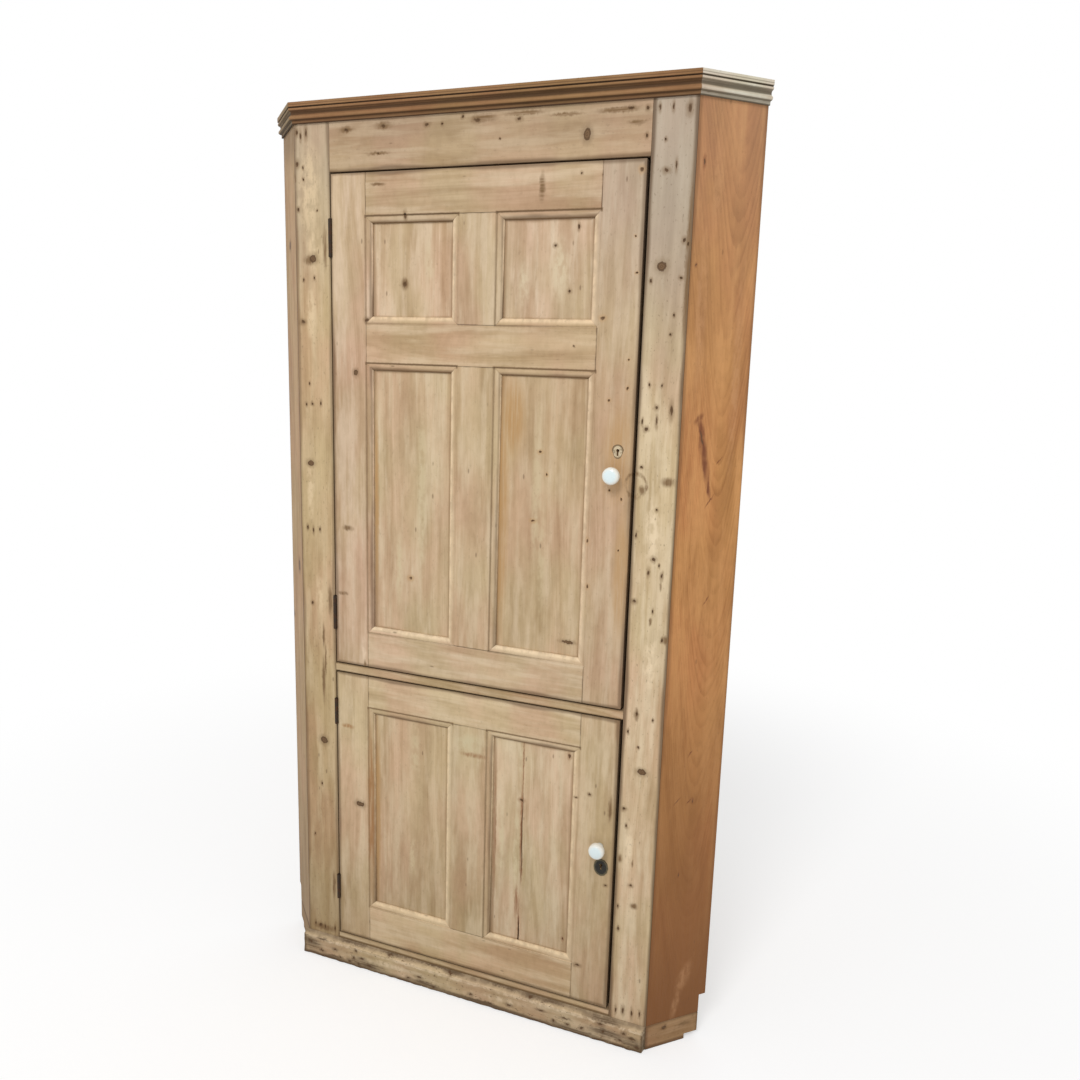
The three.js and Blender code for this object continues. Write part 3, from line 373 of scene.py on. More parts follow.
class Pine(Finish):
    """Pine with its rings running through the board, under coats of colour, dirt, painted highlight and
    painted shade, and marks.
    """

    def __init__(self, node, colour, turn, dirt_share):
        super().__init__(node + "_pine")
        self.low, self.high = board_reach(node, turn)
        self.up_axis = 2 if self.high.y - self.low.y < self.high.z - self.low.z else 1
        self.dice = random.Random(node)
        self.colour = colour
        # The darker tone, laid both as dirt and as painted shade.
        self.dirt = self.tone(dirt_share, dirt_share * 0.90, dirt_share * 0.74)
        self.face = self.place
        if turn:
            self.face = self.add("Mapping", self.place, (0, 0, 0), (0, 0, -turn)).outputs[0]
        self.hue = self.noise(self.face, (7, 7, 3.6), 2.0, 0.55)
        self.uneven = self.sum("MULTIPLY_ADD", self.hue, 0.016, -0.008)
        self.blotch = self.noise(self.face, (70, 70, 38), 3.0, 0.6)
        self.ragged = self.noise(self.face, (150, 150, 80), 2.0, 0.6, "Color")
        self.torn = self.shaken((0.006, 0.006, 0.009))
        self.frayed = self.shaken((0.002, 0, 0.002))

    def tone(self, *shares):
        """The board's own colour, with its red, green and blue brought up or down."""
        return srgb(*(part * share for part, share in zip(self.colour, shares)))

    def shaken(self, reach):
        """The place on the board, moved about raggedly within a reach along each axis."""
        back = tuple(-distance / 2 for distance in reach)
        return self.vector("ADD", self.face, self.vector("MULTIPLY_ADD", self.ragged, reach, back))

    def coat(self, share, colour, blend="MIX"):
        """Lays a colour over the ones below it."""
        self.stain = self.mix(share, self.stain, colour, blend)

    def near(self, marks):
        """How near the nearest of some marks is, with ragged rims."""
        return self.spots(self.torn, marks, self.up_axis)

    def wild_knots(self, count):
        """Small knots at random places."""
        knots = []
        for _ in range(count):
            size = self.dice.uniform(0.004, 0.010)
            across = self.dice.uniform(self.low.x, self.high.x)
            up = self.dice.uniform(self.low[self.up_axis], self.high[self.up_axis])
            knots.append((across, up, size, size * self.dice.uniform(0.8, 1.4)))
        return knots

    def grow(self, lay, pith, knots, ring, taper):
        """Rings round the tree's heart, which wanders. The trunk's taper arches the figure, and knots push
        the rings aside. It gives the distance from the heart."""
        middle = (self.low + self.high) / 2
        for angle, axis in zip(lay, "XYZ"):
            middle = Matrix.Rotation(angle, 3, axis) @ middle
        shift = Vector((*pith, self.dice.uniform(2, 9))) - middle
        self.grain = self.add("Mapping", self.face, tuple(shift), lay).outputs[0]
        drift = self.noise(self.grain, (4.0, 4.0, 1.3), 1.0, 0.5, "Color")
        wander = self.vector("MULTIPLY_ADD", drift, (0.06, 0.06, 0), (-0.03, -0.03, 0))
        ripple = self.noise(self.grain, (60, 60, 7), 2.0, 0.6)
        heart = self.vector("MULTIPLY", self.vector("ADD", self.grain, wander), (1, 1, 0))
        radius = self.sum("MULTIPLY_ADD", self.part(self.grain, 2), taper, self.vector("LENGTH", heart))
        radius = self.sum("MULTIPLY_ADD", ripple, 0.0030, radius)
        if knots:
            self.knot_reach = self.near(knots)
            swell = self.times(self.times(self.knot_reach, self.knot_reach), -0.35)
            radius = self.sum("MULTIPLY_ADD", self.sum("EXPONENT", swell), 0.011, radius)
        count = self.sum("DIVIDE", radius, ring)
        part = self.sum("FRACT", count)
        rings = self.times(self.range(part, 0.25, 0.85), self.range(part, 1.0, 0.88))
        year = self.add("TexWhiteNoise", None, self.sum("FLOOR", count), noise_dimensions="1D")
        self.rings = self.times(rings, self.sum("MULTIPLY_ADD", year.outputs["Value"], 0.85, 0.15))
        return radius

    def tint(self, radius, figure):
        """The rings' two colours, broad bands of growth, pinker and yellower wood, mottling, the chalky bloom
        that the stripping tank left, and fibres."""
        banded = self.add("CombineXYZ", radius, 0, self.part(self.grain, 2)).outputs[0]
        bands = self.noise(banded, (48, 1, 0.9), 3.0, 0.6)
        bloom = self.noise(self.grain, (38, 38, 5), 3.0, 0.62)
        self.fibre = self.noise(self.grain, (460, 460, 12), 3.0, 0.65)
        self.patch = self.noise(self.grain, (22, 22, 3.6), 3.0, 0.62)
        late = self.tone(0.86, 0.81, 0.72)
        self.stain = self.mix(self.times(self.rings, figure), self.tone(1.07, 1.08, 1.10), late)
        self.coat(self.range(bands, 0.36, 0.70, 0, 0.55), late)
        self.coat(1.0, self.mix(self.range(self.hue, 0.36, 0.64), YELLOWER, PINKER), "MULTIPLY")
        self.coat(self.range(self.patch, 0.36, 0.68), MOTTLED, "MULTIPLY")
        self.coat(self.range(bloom, 0.42, 0.70, 0, 0.7), self.tone(1.10, 1.14, 1.17))
        self.coat(self.range(self.blotch, 0.40, 0.66, 0, 0.5), BLOTCHED, "MULTIPLY")
        self.coat(self.range(self.fibre, 0.35, 0.75, 0, 0.26), FIBROUS, "MULTIPLY")
        self.relief = self.sum("MULTIPLY_ADD", self.fibre, 0.5, self.times(self.rings, 0.35))

    def draw_level(self, height, spread, share):
        """A level band of painted shade with an uneven edge: in the cornice's hollows, at joints, under
        overhangs and along the floor.
        """
        reach = self.away(self.part(self.face, 2), height)
        reach = self.sum("MULTIPLY_ADD", self.sum("SUBTRACT", self.patch, 0.5), spread, reach)
        self.coat(self.range(reach, spread, spread * 0.3, 0, share), self.dirt)

    def dirty_edges(self, grime, inset, edge_dirt):
        """Dirt and painted shade along the edges. A panel, which hides its edges by the inset, shows most of
        it at the left and least at the foot, as painted shade."""
        left, right, head, foot = (inset * share for share in EDGE_DIRT_SHOWN)
        near, far = self.low + Vector((left, 0, foot)), self.high - Vector((right, 0, head))
        edge = self.sum("ADD", self.border(self.face, near, far, self.up_axis), self.uneven)
        self.coat(self.range(edge, -0.010, -0.0005, 0, grime), self.dirt)
        self.coat(self.range(edge, -0.0085, -0.0015, 0, min(grime * 1.6, 0.8)), edge_dirt)

    def draw_joint(self, axis, place):
        """The broken dark line where another board's shoulder meets this one."""
        reach = self.away(self.part(self.frayed, axis), place)
        broken = self.range(self.patch, 0.35, 0.6, 0.3, 1)
        self.coat(self.times(self.range(reach, 0.0034, 0.0006, 0, 0.6), broken), PINE_BARK)

    def rub_mouldings(self, rubbed, rub_depth, openings):
        """Near the face and inside the openings, slopes that look up or left get a painted highlight, and
        slopes that look down get painted shade. Painted shade also lies in the quirk round each opening, most
        at its head and its left side, and along its sight edge where it looks down."""
        facing = self.add("TexCoord").outputs["Normal"]
        leaning = self.part(facing, 0)
        to_left, to_right = self.times(leaning, -LEFT_RUB_SHARE), self.times(leaning, RIGHT_RUB_SHARE)
        upwards = self.sum("ADD", self.part(facing, 2), self.sum("MAXIMUM", to_left, to_right))
        shown = self.range(self.part(self.face, 1), self.low.y + rub_depth, self.low.y + rub_depth * 0.9)
        edges = [self.border(self.frayed, corner, far_corner, 2) for corner, far_corner in openings]
        if edges:
            nearest = edges[0]
            for edge in edges[1:]:
                nearest = self.sum("MINIMUM", nearest, edge)
            shown = self.times(shown, self.range(nearest, 0.002, 0.0))
        # Painted highlight on slopes that look up or left.
        worn = self.times(self.range(upwards, 0.03, 0.28, 0, rubbed), shown)
        worn = self.times(worn, self.range(self.blotch, 0.66, 0.36, 0.65, 1))
        self.coat(worn, self.tone(1.20, 1.23, 1.24))
        # Painted shade on slopes that look down.
        self.coat(self.times(self.range(upwards, -0.25, -0.80, 0, 0.85), shown), self.dirt)
        front = self.range(self.part(facing, 1), 0.2, -0.2)
        # Painted shade in the quirks, most at the head and the left of each opening, and along the sight
        # edges.
        for edge, (corner, far_corner) in zip(edges, openings):
            side = self.range(self.part(self.face, 0), corner.x + 0.02, far_corner.x - 0.02, 0.50, 0.12)
            head = self.range(self.part(self.face, 2), far_corner.z - 0.008, far_corner.z - 0.003, 0.0, 0.8)
            quirk = self.range(self.sum("ABSOLUTE", edge), 0.0036, 0.0008)
            quirk = self.times(quirk, self.sum("MAXIMUM", head, side))
            sight = self.times(self.range(edge, -0.0125, -0.0148), self.range(upwards, 0.1, -0.4, 0.1, 0.6))
            self.coat(self.times(self.sum("MAXIMUM", quirk, sight), front), self.dirt)

    def dirty_foot(self, share, height):
        """Darker towards the floor, fading out upwards."""
        level = self.sum("ADD", self.part(self.face, 2), self.times(self.uneven, 16))
        self.coat(self.range(level, height, 0.0, 0, share), self.dirt)

    def draw_pale(self, marks, share, tone):
        """Chalky or rubbed places, broken up by blotches. Along the plinth's bevel they are a painted
        highlight.
        """
        broken = self.range(self.blotch, 0.62, 0.4, 0.3, 1)
        self.coat(self.times(self.range(self.near(marks), 1.4, 0.3, 0, share), broken), self.tone(*tone))

    def draw_specks(self, specks, pepper):
        """Small dark specks, and finer dust in the grain."""
        cells = self.add("TexVoronoi", self.vector("MULTIPLY", self.grain, (46, 46, 17)), None, 1.0)
        rare = self.range(self.part(cells.outputs["Color"], 0), 0.76, 0.78)
        speck = self.times(self.range(cells.outputs["Distance"], 0.13, 0.05), rare)
        self.coat(self.times(speck, specks), PINE_HOLE)
        dust = self.noise(self.grain, (230, 230, 120), 2.0, 0.55)
        self.coat(self.range(dust, 0.62, 0.74, 0, pepper), PINE_HOLE)

    def draw_smears(self, marks, colour):
        """Stains drawn out along the grain."""
        streak = self.noise(self.grain, (260, 260, 14), 2.0, 0.6)
        streak = self.range(streak, 0.3, 0.6, 0.45, 0.95)
        self.coat(self.times(self.range(self.near(marks), 1.3, 0.3), streak), colour)

    def draw_rims(self, marks):
        """Faint outlines that old fittings have left."""
        faint = self.range(self.blotch, 0.35, 0.6, 0.05, 0.8)
        self.coat(self.times(self.range(self.away(self.near(marks), 1.0), 0.26, 0.04), faint), PINE_SMEAR)

    def draw_knots(self):
        """Knots with a dark ring of bark round rings of their own, a little sunk."""
        turns = self.sum("FRACT", self.times(self.knot_reach, 2.6))
        core = self.mix(self.range(turns, 0.2, 0.9, 0.1, 0.8), PINE_KNOT, PINE_BARK)
        self.coat(self.range(self.knot_reach, 2.6, 0.9, 0, 0.45), self.dirt)
        self.coat(self.range(self.knot_reach, 1.15, 0.95, 0, 0.9), PINE_BARK)
        self.coat(self.range(self.knot_reach, 0.92, 0.6, 0, 0.9), core)
        self.relief = self.sum("SUBTRACT", self.relief, self.range(self.knot_reach, 1.1, 0.9, 0, 0.5))

    def draw_holes(self, marks, rust):
        """Nail holes, dark inside, with a stain round each."""
        reach = self.near(marks)
        self.coat(self.range(reach, 2.8, 0.9, 0, 0.5), rust)
        self.coat(self.range(reach, 1.15, 0.45, 0, 0.9), PINE_HOLE)
        self.relief = self.sum("SUBTRACT", self.relief, self.range(reach, 1.1, 0.6, 0, 2.0))


def pine(node, colour, lay=UPRIGHT, pith=(0.03, 0.06), start=0.0, turn=0.0, ring=0.0046, taper=0.012,
         figure=0.16, dry=0.74, wild_knots=0, knots=(), holes=(), smears=(), pale=(), rims=(), levels=(),
         joints=(), openings=(), rubbed=0.0, rub_depth=0.009, grime=0.3, inset=0.0, edge_dirt=PINE_BARK,
         dirt_share=0.60, grey_above=None, foot=0.0, foot_height=0.55, specks=0.5, pepper=0.15,
         smear=PINE_SMEAR, pale_share=0.7, pale_tone=(1.17, 1.21, 1.25)):
    """A board's pine. Lay is how the board's length lies, turn its angle in plan, and pith how far the tree's
    heart is from its middle, across it and behind it. Marks are in millimetres, across from the start."""
    wood = Pine(node, colour, turn, dirt_share)
    all_marks = (knots, holes, smears, pale, rims)
    knots, holes, smears, pale, rims = (in_metres(marks, start) for marks in all_marks)
    knots += wood.wild_knots(wild_knots)
    wood.tint(wood.grow(lay, pith, knots, ring, taper), figure)
    if grey_above:
        height = wood.sum("MULTIPLY_ADD", wood.hue, 0.25, wood.part(wood.face, 2))
        wood.coat(wood.range(height, *grey_above), PINE_GREY)
    # Level bands of painted shade.
    for level in levels:
        wood.draw_level(*level)
    # Dirt and painted shade along the edges.
    if grime:
        wood.dirty_edges(grime, inset, edge_dirt)
    for joint in joints:
        wood.draw_joint(*joint)
    # Painted highlight and painted shade on the mouldings, by the way their slopes look.
    if rubbed:
        wood.rub_mouldings(rubbed, rub_depth, openings)
    if foot:
        wood.dirty_foot(foot, foot_height)
    if pale:
        wood.draw_pale(pale, pale_share, pale_tone)
    wood.draw_specks(specks, pepper)
    if smears:
        wood.draw_smears(smears, smear)
    if rims:
        wood.draw_rims(rims)
    if knots:
        wood.draw_knots()
    if holes:
        wood.draw_holes(holes, smear)
    roughness = wood.range(wood.fibre, 0.3, 0.7, dry - 0.06, dry + 0.08)
    return wood.surface(wood.stain, roughness, (0.5, 0.0006), wood.relief, {"Specular IOR Level": 0.28})


def hole_bit(across, up, half_width, half_height, face_y):
    """A tapered bit with eight sides that stands half in the board's face, as wide as one nail hole."""
    bpy.ops.object.select_all(action="DESELECT")
    bpy.ops.mesh.primitive_cone_add(vertices=8, radius1=HOLE_FLOOR_SHARE, radius2=HOLE_MOUTH_SHARE, depth=2,
                                    location=(across, face_y, up), rotation=(math.pi / 2, 0, 0),
                                    scale=(half_width, half_height, HOLE_DEPTH))
    bpy.ops.object.transform_apply(location=True, rotation=True, scale=True)
    return bpy.context.object


def crack_blade(across, foot, head, gape, board):
    """A thin blade right through the board that wanders with its grain and narrows towards both ends."""
    low, high = [Vector(corner) for corner in (board.bound_box[0], board.bound_box[6])]
    bpy.ops.object.select_all(action="DESELECT")
    bpy.ops.mesh.primitive_cube_add(size=1, location=(across, (low.y + high.y) / 2, (foot + head) / 2),
                                    scale=(gape, (high.y - low.y) * 2, head - foot))
    bpy.ops.object.transform_apply(location=True, scale=True)
    blade = bpy.context.object
    bpy.ops.object.mode_set(mode="EDIT")
    for i in range(1, CRACK_STEPS):
        bpy.ops.mesh.select_all(action="SELECT")
        bpy.ops.mesh.bisect(plane_co=(0, 0, foot + (head - foot) * i / CRACK_STEPS), plane_no=(0, 0, 1))
    bpy.ops.object.mode_set(mode="OBJECT")
    for vertex in blade.data.vertices:
        share = (vertex.co.z - foot) / (head - foot)
        narrow = max(CRACK_TIP_SHARE, math.sin(math.pi * share)) ** CRACK_FULLNESS
        wander = CRACK_WANDER * sum(reach * math.sin(bend * vertex.co.z) for bend, reach in CRACK_BENDS)
        vertex.co.x = across + (vertex.co.x - across) * narrow + wander
    return blade


def cut_away(piece, bits):
    """Cuts the bits out of the piece, and leaves the piece selected."""
    bit = join(bits)
    select_only(piece)
    cut = piece.modifiers.new("cut", "BOOLEAN")
    cut.operation = "DIFFERENCE"
    cut.use_self = True
    cut.object = bit
    bpy.ops.object.modifier_apply(modifier=cut.name)
    bpy.data.objects.remove(bit)


def dress_board(node, slot, *looks, width=ARRIS_WIDTH, turn=0.0, holes=(), cracks=(), **more_looks):
    """The CAD board in the node's place, with eased arrises and its finish. On the front, its cracks and its
    wider nail holes are cut into it."""
    board = take_copy(node, node + "_wood")
    ease_arrises(board, width, SHORTEST_ARRIS)
    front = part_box(node)[0].y
    bits = [crack_blade(*crack, board) for crack in in_metres(cracks)]
    if not turn:
        bits += [hole_bit(*hole[:4], front) for hole in in_metres(holes) if min(hole[2:4]) >= SMALLEST_BORE]
    if bits:
        cut_away(board, bits)
    put_in_place(board, node, pine(node, *looks, turn=turn, holes=holes, **more_looks),
                 BOARD_SMOOTHING)


dress_board(
    "left_stile", "front_pine", (193, 166, 130), pith=(0.05, 0.06), foot=0.3, grey_above=(1.7, 2.05, 0, 0.35),
    grime=0.25, pepper=0.3,
    knots=[(-403, 1719, 8, 8), (-418, 1264, 8, 6), (-393, 585, 9, 8)],
    holes=[(-440, 1919, 4, 6), (-425, 1910, 2, 3), (-439, 1983, 3, 5), (-430, 1976, 2, 8),
           (-416, 1982, 3, 9), (-424, 1886, 2, 3), (-439, 1824, 3, 4), (-390, 1820, 2, 2),
           (-428, 1674, 2, 3), (-400, 1678, 2, 3), (-432, 1582, 6, 4), (-418, 1446, 2, 4),
           (-411, 1400, 3, 3), (-388, 1402, 2, 5), (-427, 1398, 2, 4), (-430, 1112, 2, 5),
           (-414, 1106, 2, 6), (-396, 1110, 2, 5), (-420, 930, 3, 4), (-402, 470, 2, 4), (-425, 330, 2, 3),
           (-428, 80, 2, 6), (-413, 78, 4, 6), (-400, 77, 2, 7), (-370, 78, 2, 8)],
    smears=[(-390, 851, 4, 35), (-392, 742, 5, 60), (-413, 1716, 16, 11), (-449, 1891, 6, 12),
            (-371, 1742, 6, 50), (-371, 942, 6, 45), (-386, 790, 3, 50), (-371, 200, 5, 40),
            (-400, 75, 35, 10)],
    pale=[(-410, 1600, 12, 60), (-420, 1200, 10, 80), (-400, 950, 12, 50), (-410, 1860, 30, 100),
          (-400, 1740, 20, 50)],
)
dress_board(
    "right_stile", "front_pine", (207, 182, 149), pith=(-0.07, 0.055), grey_above=(1.45, 2.0, 0, 0.62),
    grime=0.4, pepper=0.35,
    knots=[(391, 1698, 8, 9), (405, 661, 9, 6)],
    holes=[(372, 1984, 2, 6), (398, 1984, 2, 6), (429, 1979, 4, 9), (386, 1927, 2, 3), (391, 1872, 5, 4),
           (409, 1880, 2, 8), (432, 1745, 3, 4), (440, 1738, 2, 4), (371, 1671, 2, 4), (430, 1676, 3, 3),
           (426, 1425, 3, 12), (396, 1429, 3, 4), (377, 1386, 4, 4), (397, 1403, 2, 9), (407, 1226, 2, 3),
           (367, 1171, 2, 5), (406, 1124, 4, 4), (397, 1095, 2, 6), (370, 1032, 4, 4), (371, 570, 4, 4),
           (377, 531, 2, 4), (394, 393, 4, 3), (388, 789, 2, 7), (371, 747, 2, 4), (420, 1607, 2, 3),
           (415, 1570, 2, 3), (379, 1473, 2, 4), (404, 1472, 2, 3), (368, 1400, 2, 5), (371, 1310, 3, 3),
           (418, 1112, 2, 3), (425, 1091, 2, 6), (410, 1016, 2, 4), (433, 957, 2, 4), (395, 716, 2, 3),
           (423, 781, 2, 3), (371, 284, 2, 4), (368, 337, 2, 4), (375, 80, 2, 7), (392, 84, 3, 8),
           (412, 82, 2, 9), (430, 86, 2, 6)],
    smears=[(427, 1283, 16, 11), (388, 789, 6, 16), (404, 346, 10, 8), (424, 1070, 3, 12),
            (441, 1700, 6, 180), (367, 452, 6, 12), (396, 447, 3, 10), (374, 1264, 6, 10),
            (440, 958, 9, 10), (406, 993, 4, 8)],
    rims=[(361, 1272, 22, 24)],
    pale=[(400, 1180, 16, 70), (410, 900, 14, 60), (385, 480, 10, 50)],
)
dress_board(
    "frieze_rail", "front_pine", (182, 154, 123), LEVEL, (0.01, 0.07), grey_above=(1.9, 2.4, 0, 0.3),
    knots=[(230, 1944, 7, 11)],
    holes=[(-314, 1982, 6, 3), (-223, 1985, 6, 4), (-119, 1982, 5, 3), (-84, 1981, 2, 3),
           (-37, 1992, 3, 3), (-5, 1984, 8, 4), (86, 1980, 5, 3), (316, 1986, 8, 3), (349, 1984, 3, 4),
           (349, 1935, 2, 4), (46, 1945, 2, 2), (-235, 1932, 2, 2)],
    smears=[(-314, 1983, 22, 7), (-223, 1986, 25, 8), (10, 1987, 32, 9), (185, 1983, 35, 4),
            (290, 1984, 45, 6), (-235, 1932, 30, 4), (330, 1960, 20, 5), (100, 1991, 50, 5)],
)

# Canted sides
# One wide pine board on each side, fixed to the stile along its front edge. The right one keeps its amber
# wax, over a figure that branches have curled and a dark tear. The left one has faded browner.
RETURN_TURN = math.radians(45)
RETURN_START = (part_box("right_stile")[1].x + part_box("right_stile")[0].y) * math.cos(RETURN_TURN)

# Its lower part darkens towards the floor, as painted shade.
dress_board(
    "right_return_board", "side_pine", (191, 134, 81), turn=RETURN_TURN, start=RETURN_START,
    pith=(-0.0175, 0.05), ring=0.0050, taper=-0.14, figure=0.5, dry=0.5, dirt_share=0.68, grime=0.2,
    specks=0.35, foot=0.95, foot_height=1.15, grey_above=(1.3, 2.5, 0, 0.25), smear=srgb(118, 66, 38),
    pale_share=0.5, pale_tone=(1.03, 1.09, 1.26),
    holes=[(18, 1886, 2, 7), (50, 1372, 2, 18, -0.30), (84, 590, 1.2, 4), (12, 1700, 1.5, 3),
           (45, 596, 1, 5, 0.9), (60, 420, 1, 4)],
    smears=[(47, 1390, 8, 28, -0.30), (54, 1352, 10, 36, -0.18), (63, 1310, 9, 38, -0.22),
            (72, 1272, 6, 26, -0.20), (40, 1410, 8, 12, 0.6), (78, 1246, 2.4, 14, 0.7),
            (94, 1326, 1.8, 10, 0.8), (84, 1036, 2, 10, 0.7), (70, 700, 1.8, 8, 0.6), (75, 590, 1.8, 8, 0.9)],
    pale=[(90, 160, 16, 36, 0.30), (74, 98, 10, 36, 0.20), (120, 1500, 10, 200), (30, 1620, 12, 140),
          (50, 1850, 12, 80)],
)
# A band of painted shade lies along its head, under the cornice.
dress_board(
    "left_return_board", "side_pine", (172, 140, 103), turn=-RETURN_TURN, pith=(0.04, 0.05), dry=0.62,
    foot=0.35, wild_knots=3, levels=[(2.0, 0.10, 0.5)],
)

# Back boards
# Three tongued and grooved boards stand against each wall, planed on the side that faces into the cupboard
# and never finished. Dust and damp have greyed them towards the floor.
for side, sign in (("left", 1), ("right", -1)):
    for number in (1, 2, 3):
        node = f"{side}_back_board_{number}"
        tone = (172 + 5 * number, 143 + 4 * number, 106 + 4 * number)
        dress_board(node, "inside_pine", tone, turn=sign * RETURN_TURN, pith=(0.03 * (number - 2), 0.06),
                    dry=0.82, foot=0.5, wild_knots=4, figure=0.6, grime=0.45)

# Shelves, bottom and top
# The bottom board and the fixed shelf between the doors come out flush between the stiles. The two upper
# shelves stop behind the door, and the top board lies inside the cornice, where nobody dusts.
INSIDE_SHELF = (176, 146, 110)
SHELVES = {
    # Painted shade lines run along the bottom board and the fixed shelf where the doors and the plinth meet
    # them.
    "bottom_board": dict(slot="front_pine", colour=(200, 174, 140), grime=0.0,
                         levels=[(0.0745, 0.003, 0.5), (0.0605, 0.005, 0.9)]),
    "middle_shelf": dict(slot="front_pine", colour=(196, 170, 137), grime=0.0,
                         levels=[(0.7705, 0.004, 0.7), (0.7895, 0.003, 0.5)]),
    "upper_shelf_1": dict(slot="inside_pine", colour=INSIDE_SHELF, grime=0.4),
    "upper_shelf_2": dict(slot="inside_pine", colour=INSIDE_SHELF, grime=0.4),
    "top_board": dict(slot="inside_pine", colour=(150, 126, 98), grime=0.4),
}
for node, choices in SHELVES.items():
    dress_board(node, lay=LYING, pith=(0.02, 0.07), dry=0.8, wild_knots=5, figure=0.4, **choices)

# Cornice
# A flat bed moulding run by hand in three lengths and mitred round the corners: a fillet, a bead, a cove, a
# second bead and a lower fillet. Its hollows and its lower edge are painted darker, as shade; the side lengths
# have faded to grey.
CORNICE_FOOT, CORNICE_TOP = (corner.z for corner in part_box("cornice_front"))
CORNICE_HEIGHT = CORNICE_TOP - CORNICE_FOOT
CORNICE_ARRIS = 0.0004
SHORTEST_MITRE_ARRIS = 0.004
# Bands of painted shade in the cornice's hollows and along its lower edge: height share, spread share and
# strength.
CORNICE_HOLLOW_SHARES = [(0.49, 0.12, 0.8), (0.755, 0.05, 0.95), (0.60, 0.04, 0.6), (0.175, 0.04, 0.75),
                         (0.0, 0.07, 0.9), (0.08, 0.10, 0.3), (0.88, 0.03, 0.45)]
CORNICE_HOLLOWS = [(CORNICE_FOOT + CORNICE_HEIGHT * up, CORNICE_HEIGHT * spread, share)
                   for up, spread, share in CORNICE_HOLLOW_SHARES]
CORNICE_LENGTHS = {
    "cornice_front": dict(colour=(143, 107, 72), dirt_share=0.42),
    "cornice_right_return": dict(colour=(207, 197, 178), turn=RETURN_TURN, dirt_share=0.40),
    "cornice_left_return": dict(colour=(150, 128, 102), turn=-RETURN_TURN, dirt_share=0.42),
}
for node, choices in CORNICE_LENGTHS.items():
    finish = pine(node, lay=LEVEL, pith=(0.01, 0.03), dry=0.8, grime=0.0, levels=CORNICE_HOLLOWS, specks=0.4,
                  **choices)
    cornice = take_copy(node, node + "_wood")
    ease_arrises(cornice, CORNICE_ARRIS, SHORTEST_MITRE_ARRIS)
    put_in_place(cornice, node, finish)

# Plinth
# A board with a bevelled top is planted along the front, and a plain foot is let in flush under each canted
# side. Shoes and mops have bruised, rounded and dirtied the front one most.
PLINTH_CUT = 0.006
PLINTH_WEAR = 0.0020
PLINTH_RISES = 10
PLINTH_BACK = 0.0025
PLINTH_BRUISES = 0.020
PLINTH_ARRIS = 0.0016
PLINTH_SMOOTHING = 45
PLINTH_FOOT_ARRIS = 0.0012


def wear_down(piece, cut, depth, grain_size, rises, back):
    """Cuts a long board finely across and along, and presses bruises into it, inwards only. A strip along its
    back, as wide as back says, stays whole."""
    low, high = [Vector(corner) for corner in (piece.bound_box[0], piece.bound_box[6])]
    bpy.ops.object.mode_set(mode="EDIT")
    for i in range(1, int((high.x - low.x) / cut)):
        bpy.ops.mesh.select_all(action="SELECT")
        bpy.ops.mesh.bisect(plane_co=(low.x + cut * i, 0, 0), plane_no=(1, 0, 0))
    for i in range(1, rises):
        bpy.ops.mesh.select_all(action="SELECT")
        bpy.ops.mesh.bisect(plane_co=(0, 0, low.z + (high.z - low.z) * i / rises), plane_no=(0, 0, 1))
    bpy.ops.object.mode_set(mode="OBJECT")
    shown = piece.vertex_groups.new(name="shown")
    shown.add([v.index for v in piece.data.vertices if v.co.y < high.y - back], 1.0, "REPLACE")
    clouds = bpy.data.textures.new(piece.name + "_bruises", "CLOUDS")
    clouds.noise_scale = grain_size
    clouds.noise_depth = 2
    clouds.intensity = 0.75
    clouds.contrast = 2.2
    bruises = piece.modifiers.new("bruises", "DISPLACE")
    bruises.texture = clouds
    bruises.texture_coords = "LOCAL"
    bruises.vertex_group = shown.name
    bruises.mid_level = 1.0
    bruises.strength = depth
    bpy.ops.object.modifier_apply(modifier=bruises.name)


plinth = take_copy("plinth_front", "plinth_front_wood")
ease_arrises(plinth, PLINTH_ARRIS, SHORTEST_ARRIS, 3)
wear_down(plinth, PLINTH_CUT, PLINTH_WEAR, PLINTH_BRUISES, PLINTH_RISES, PLINTH_BACK)
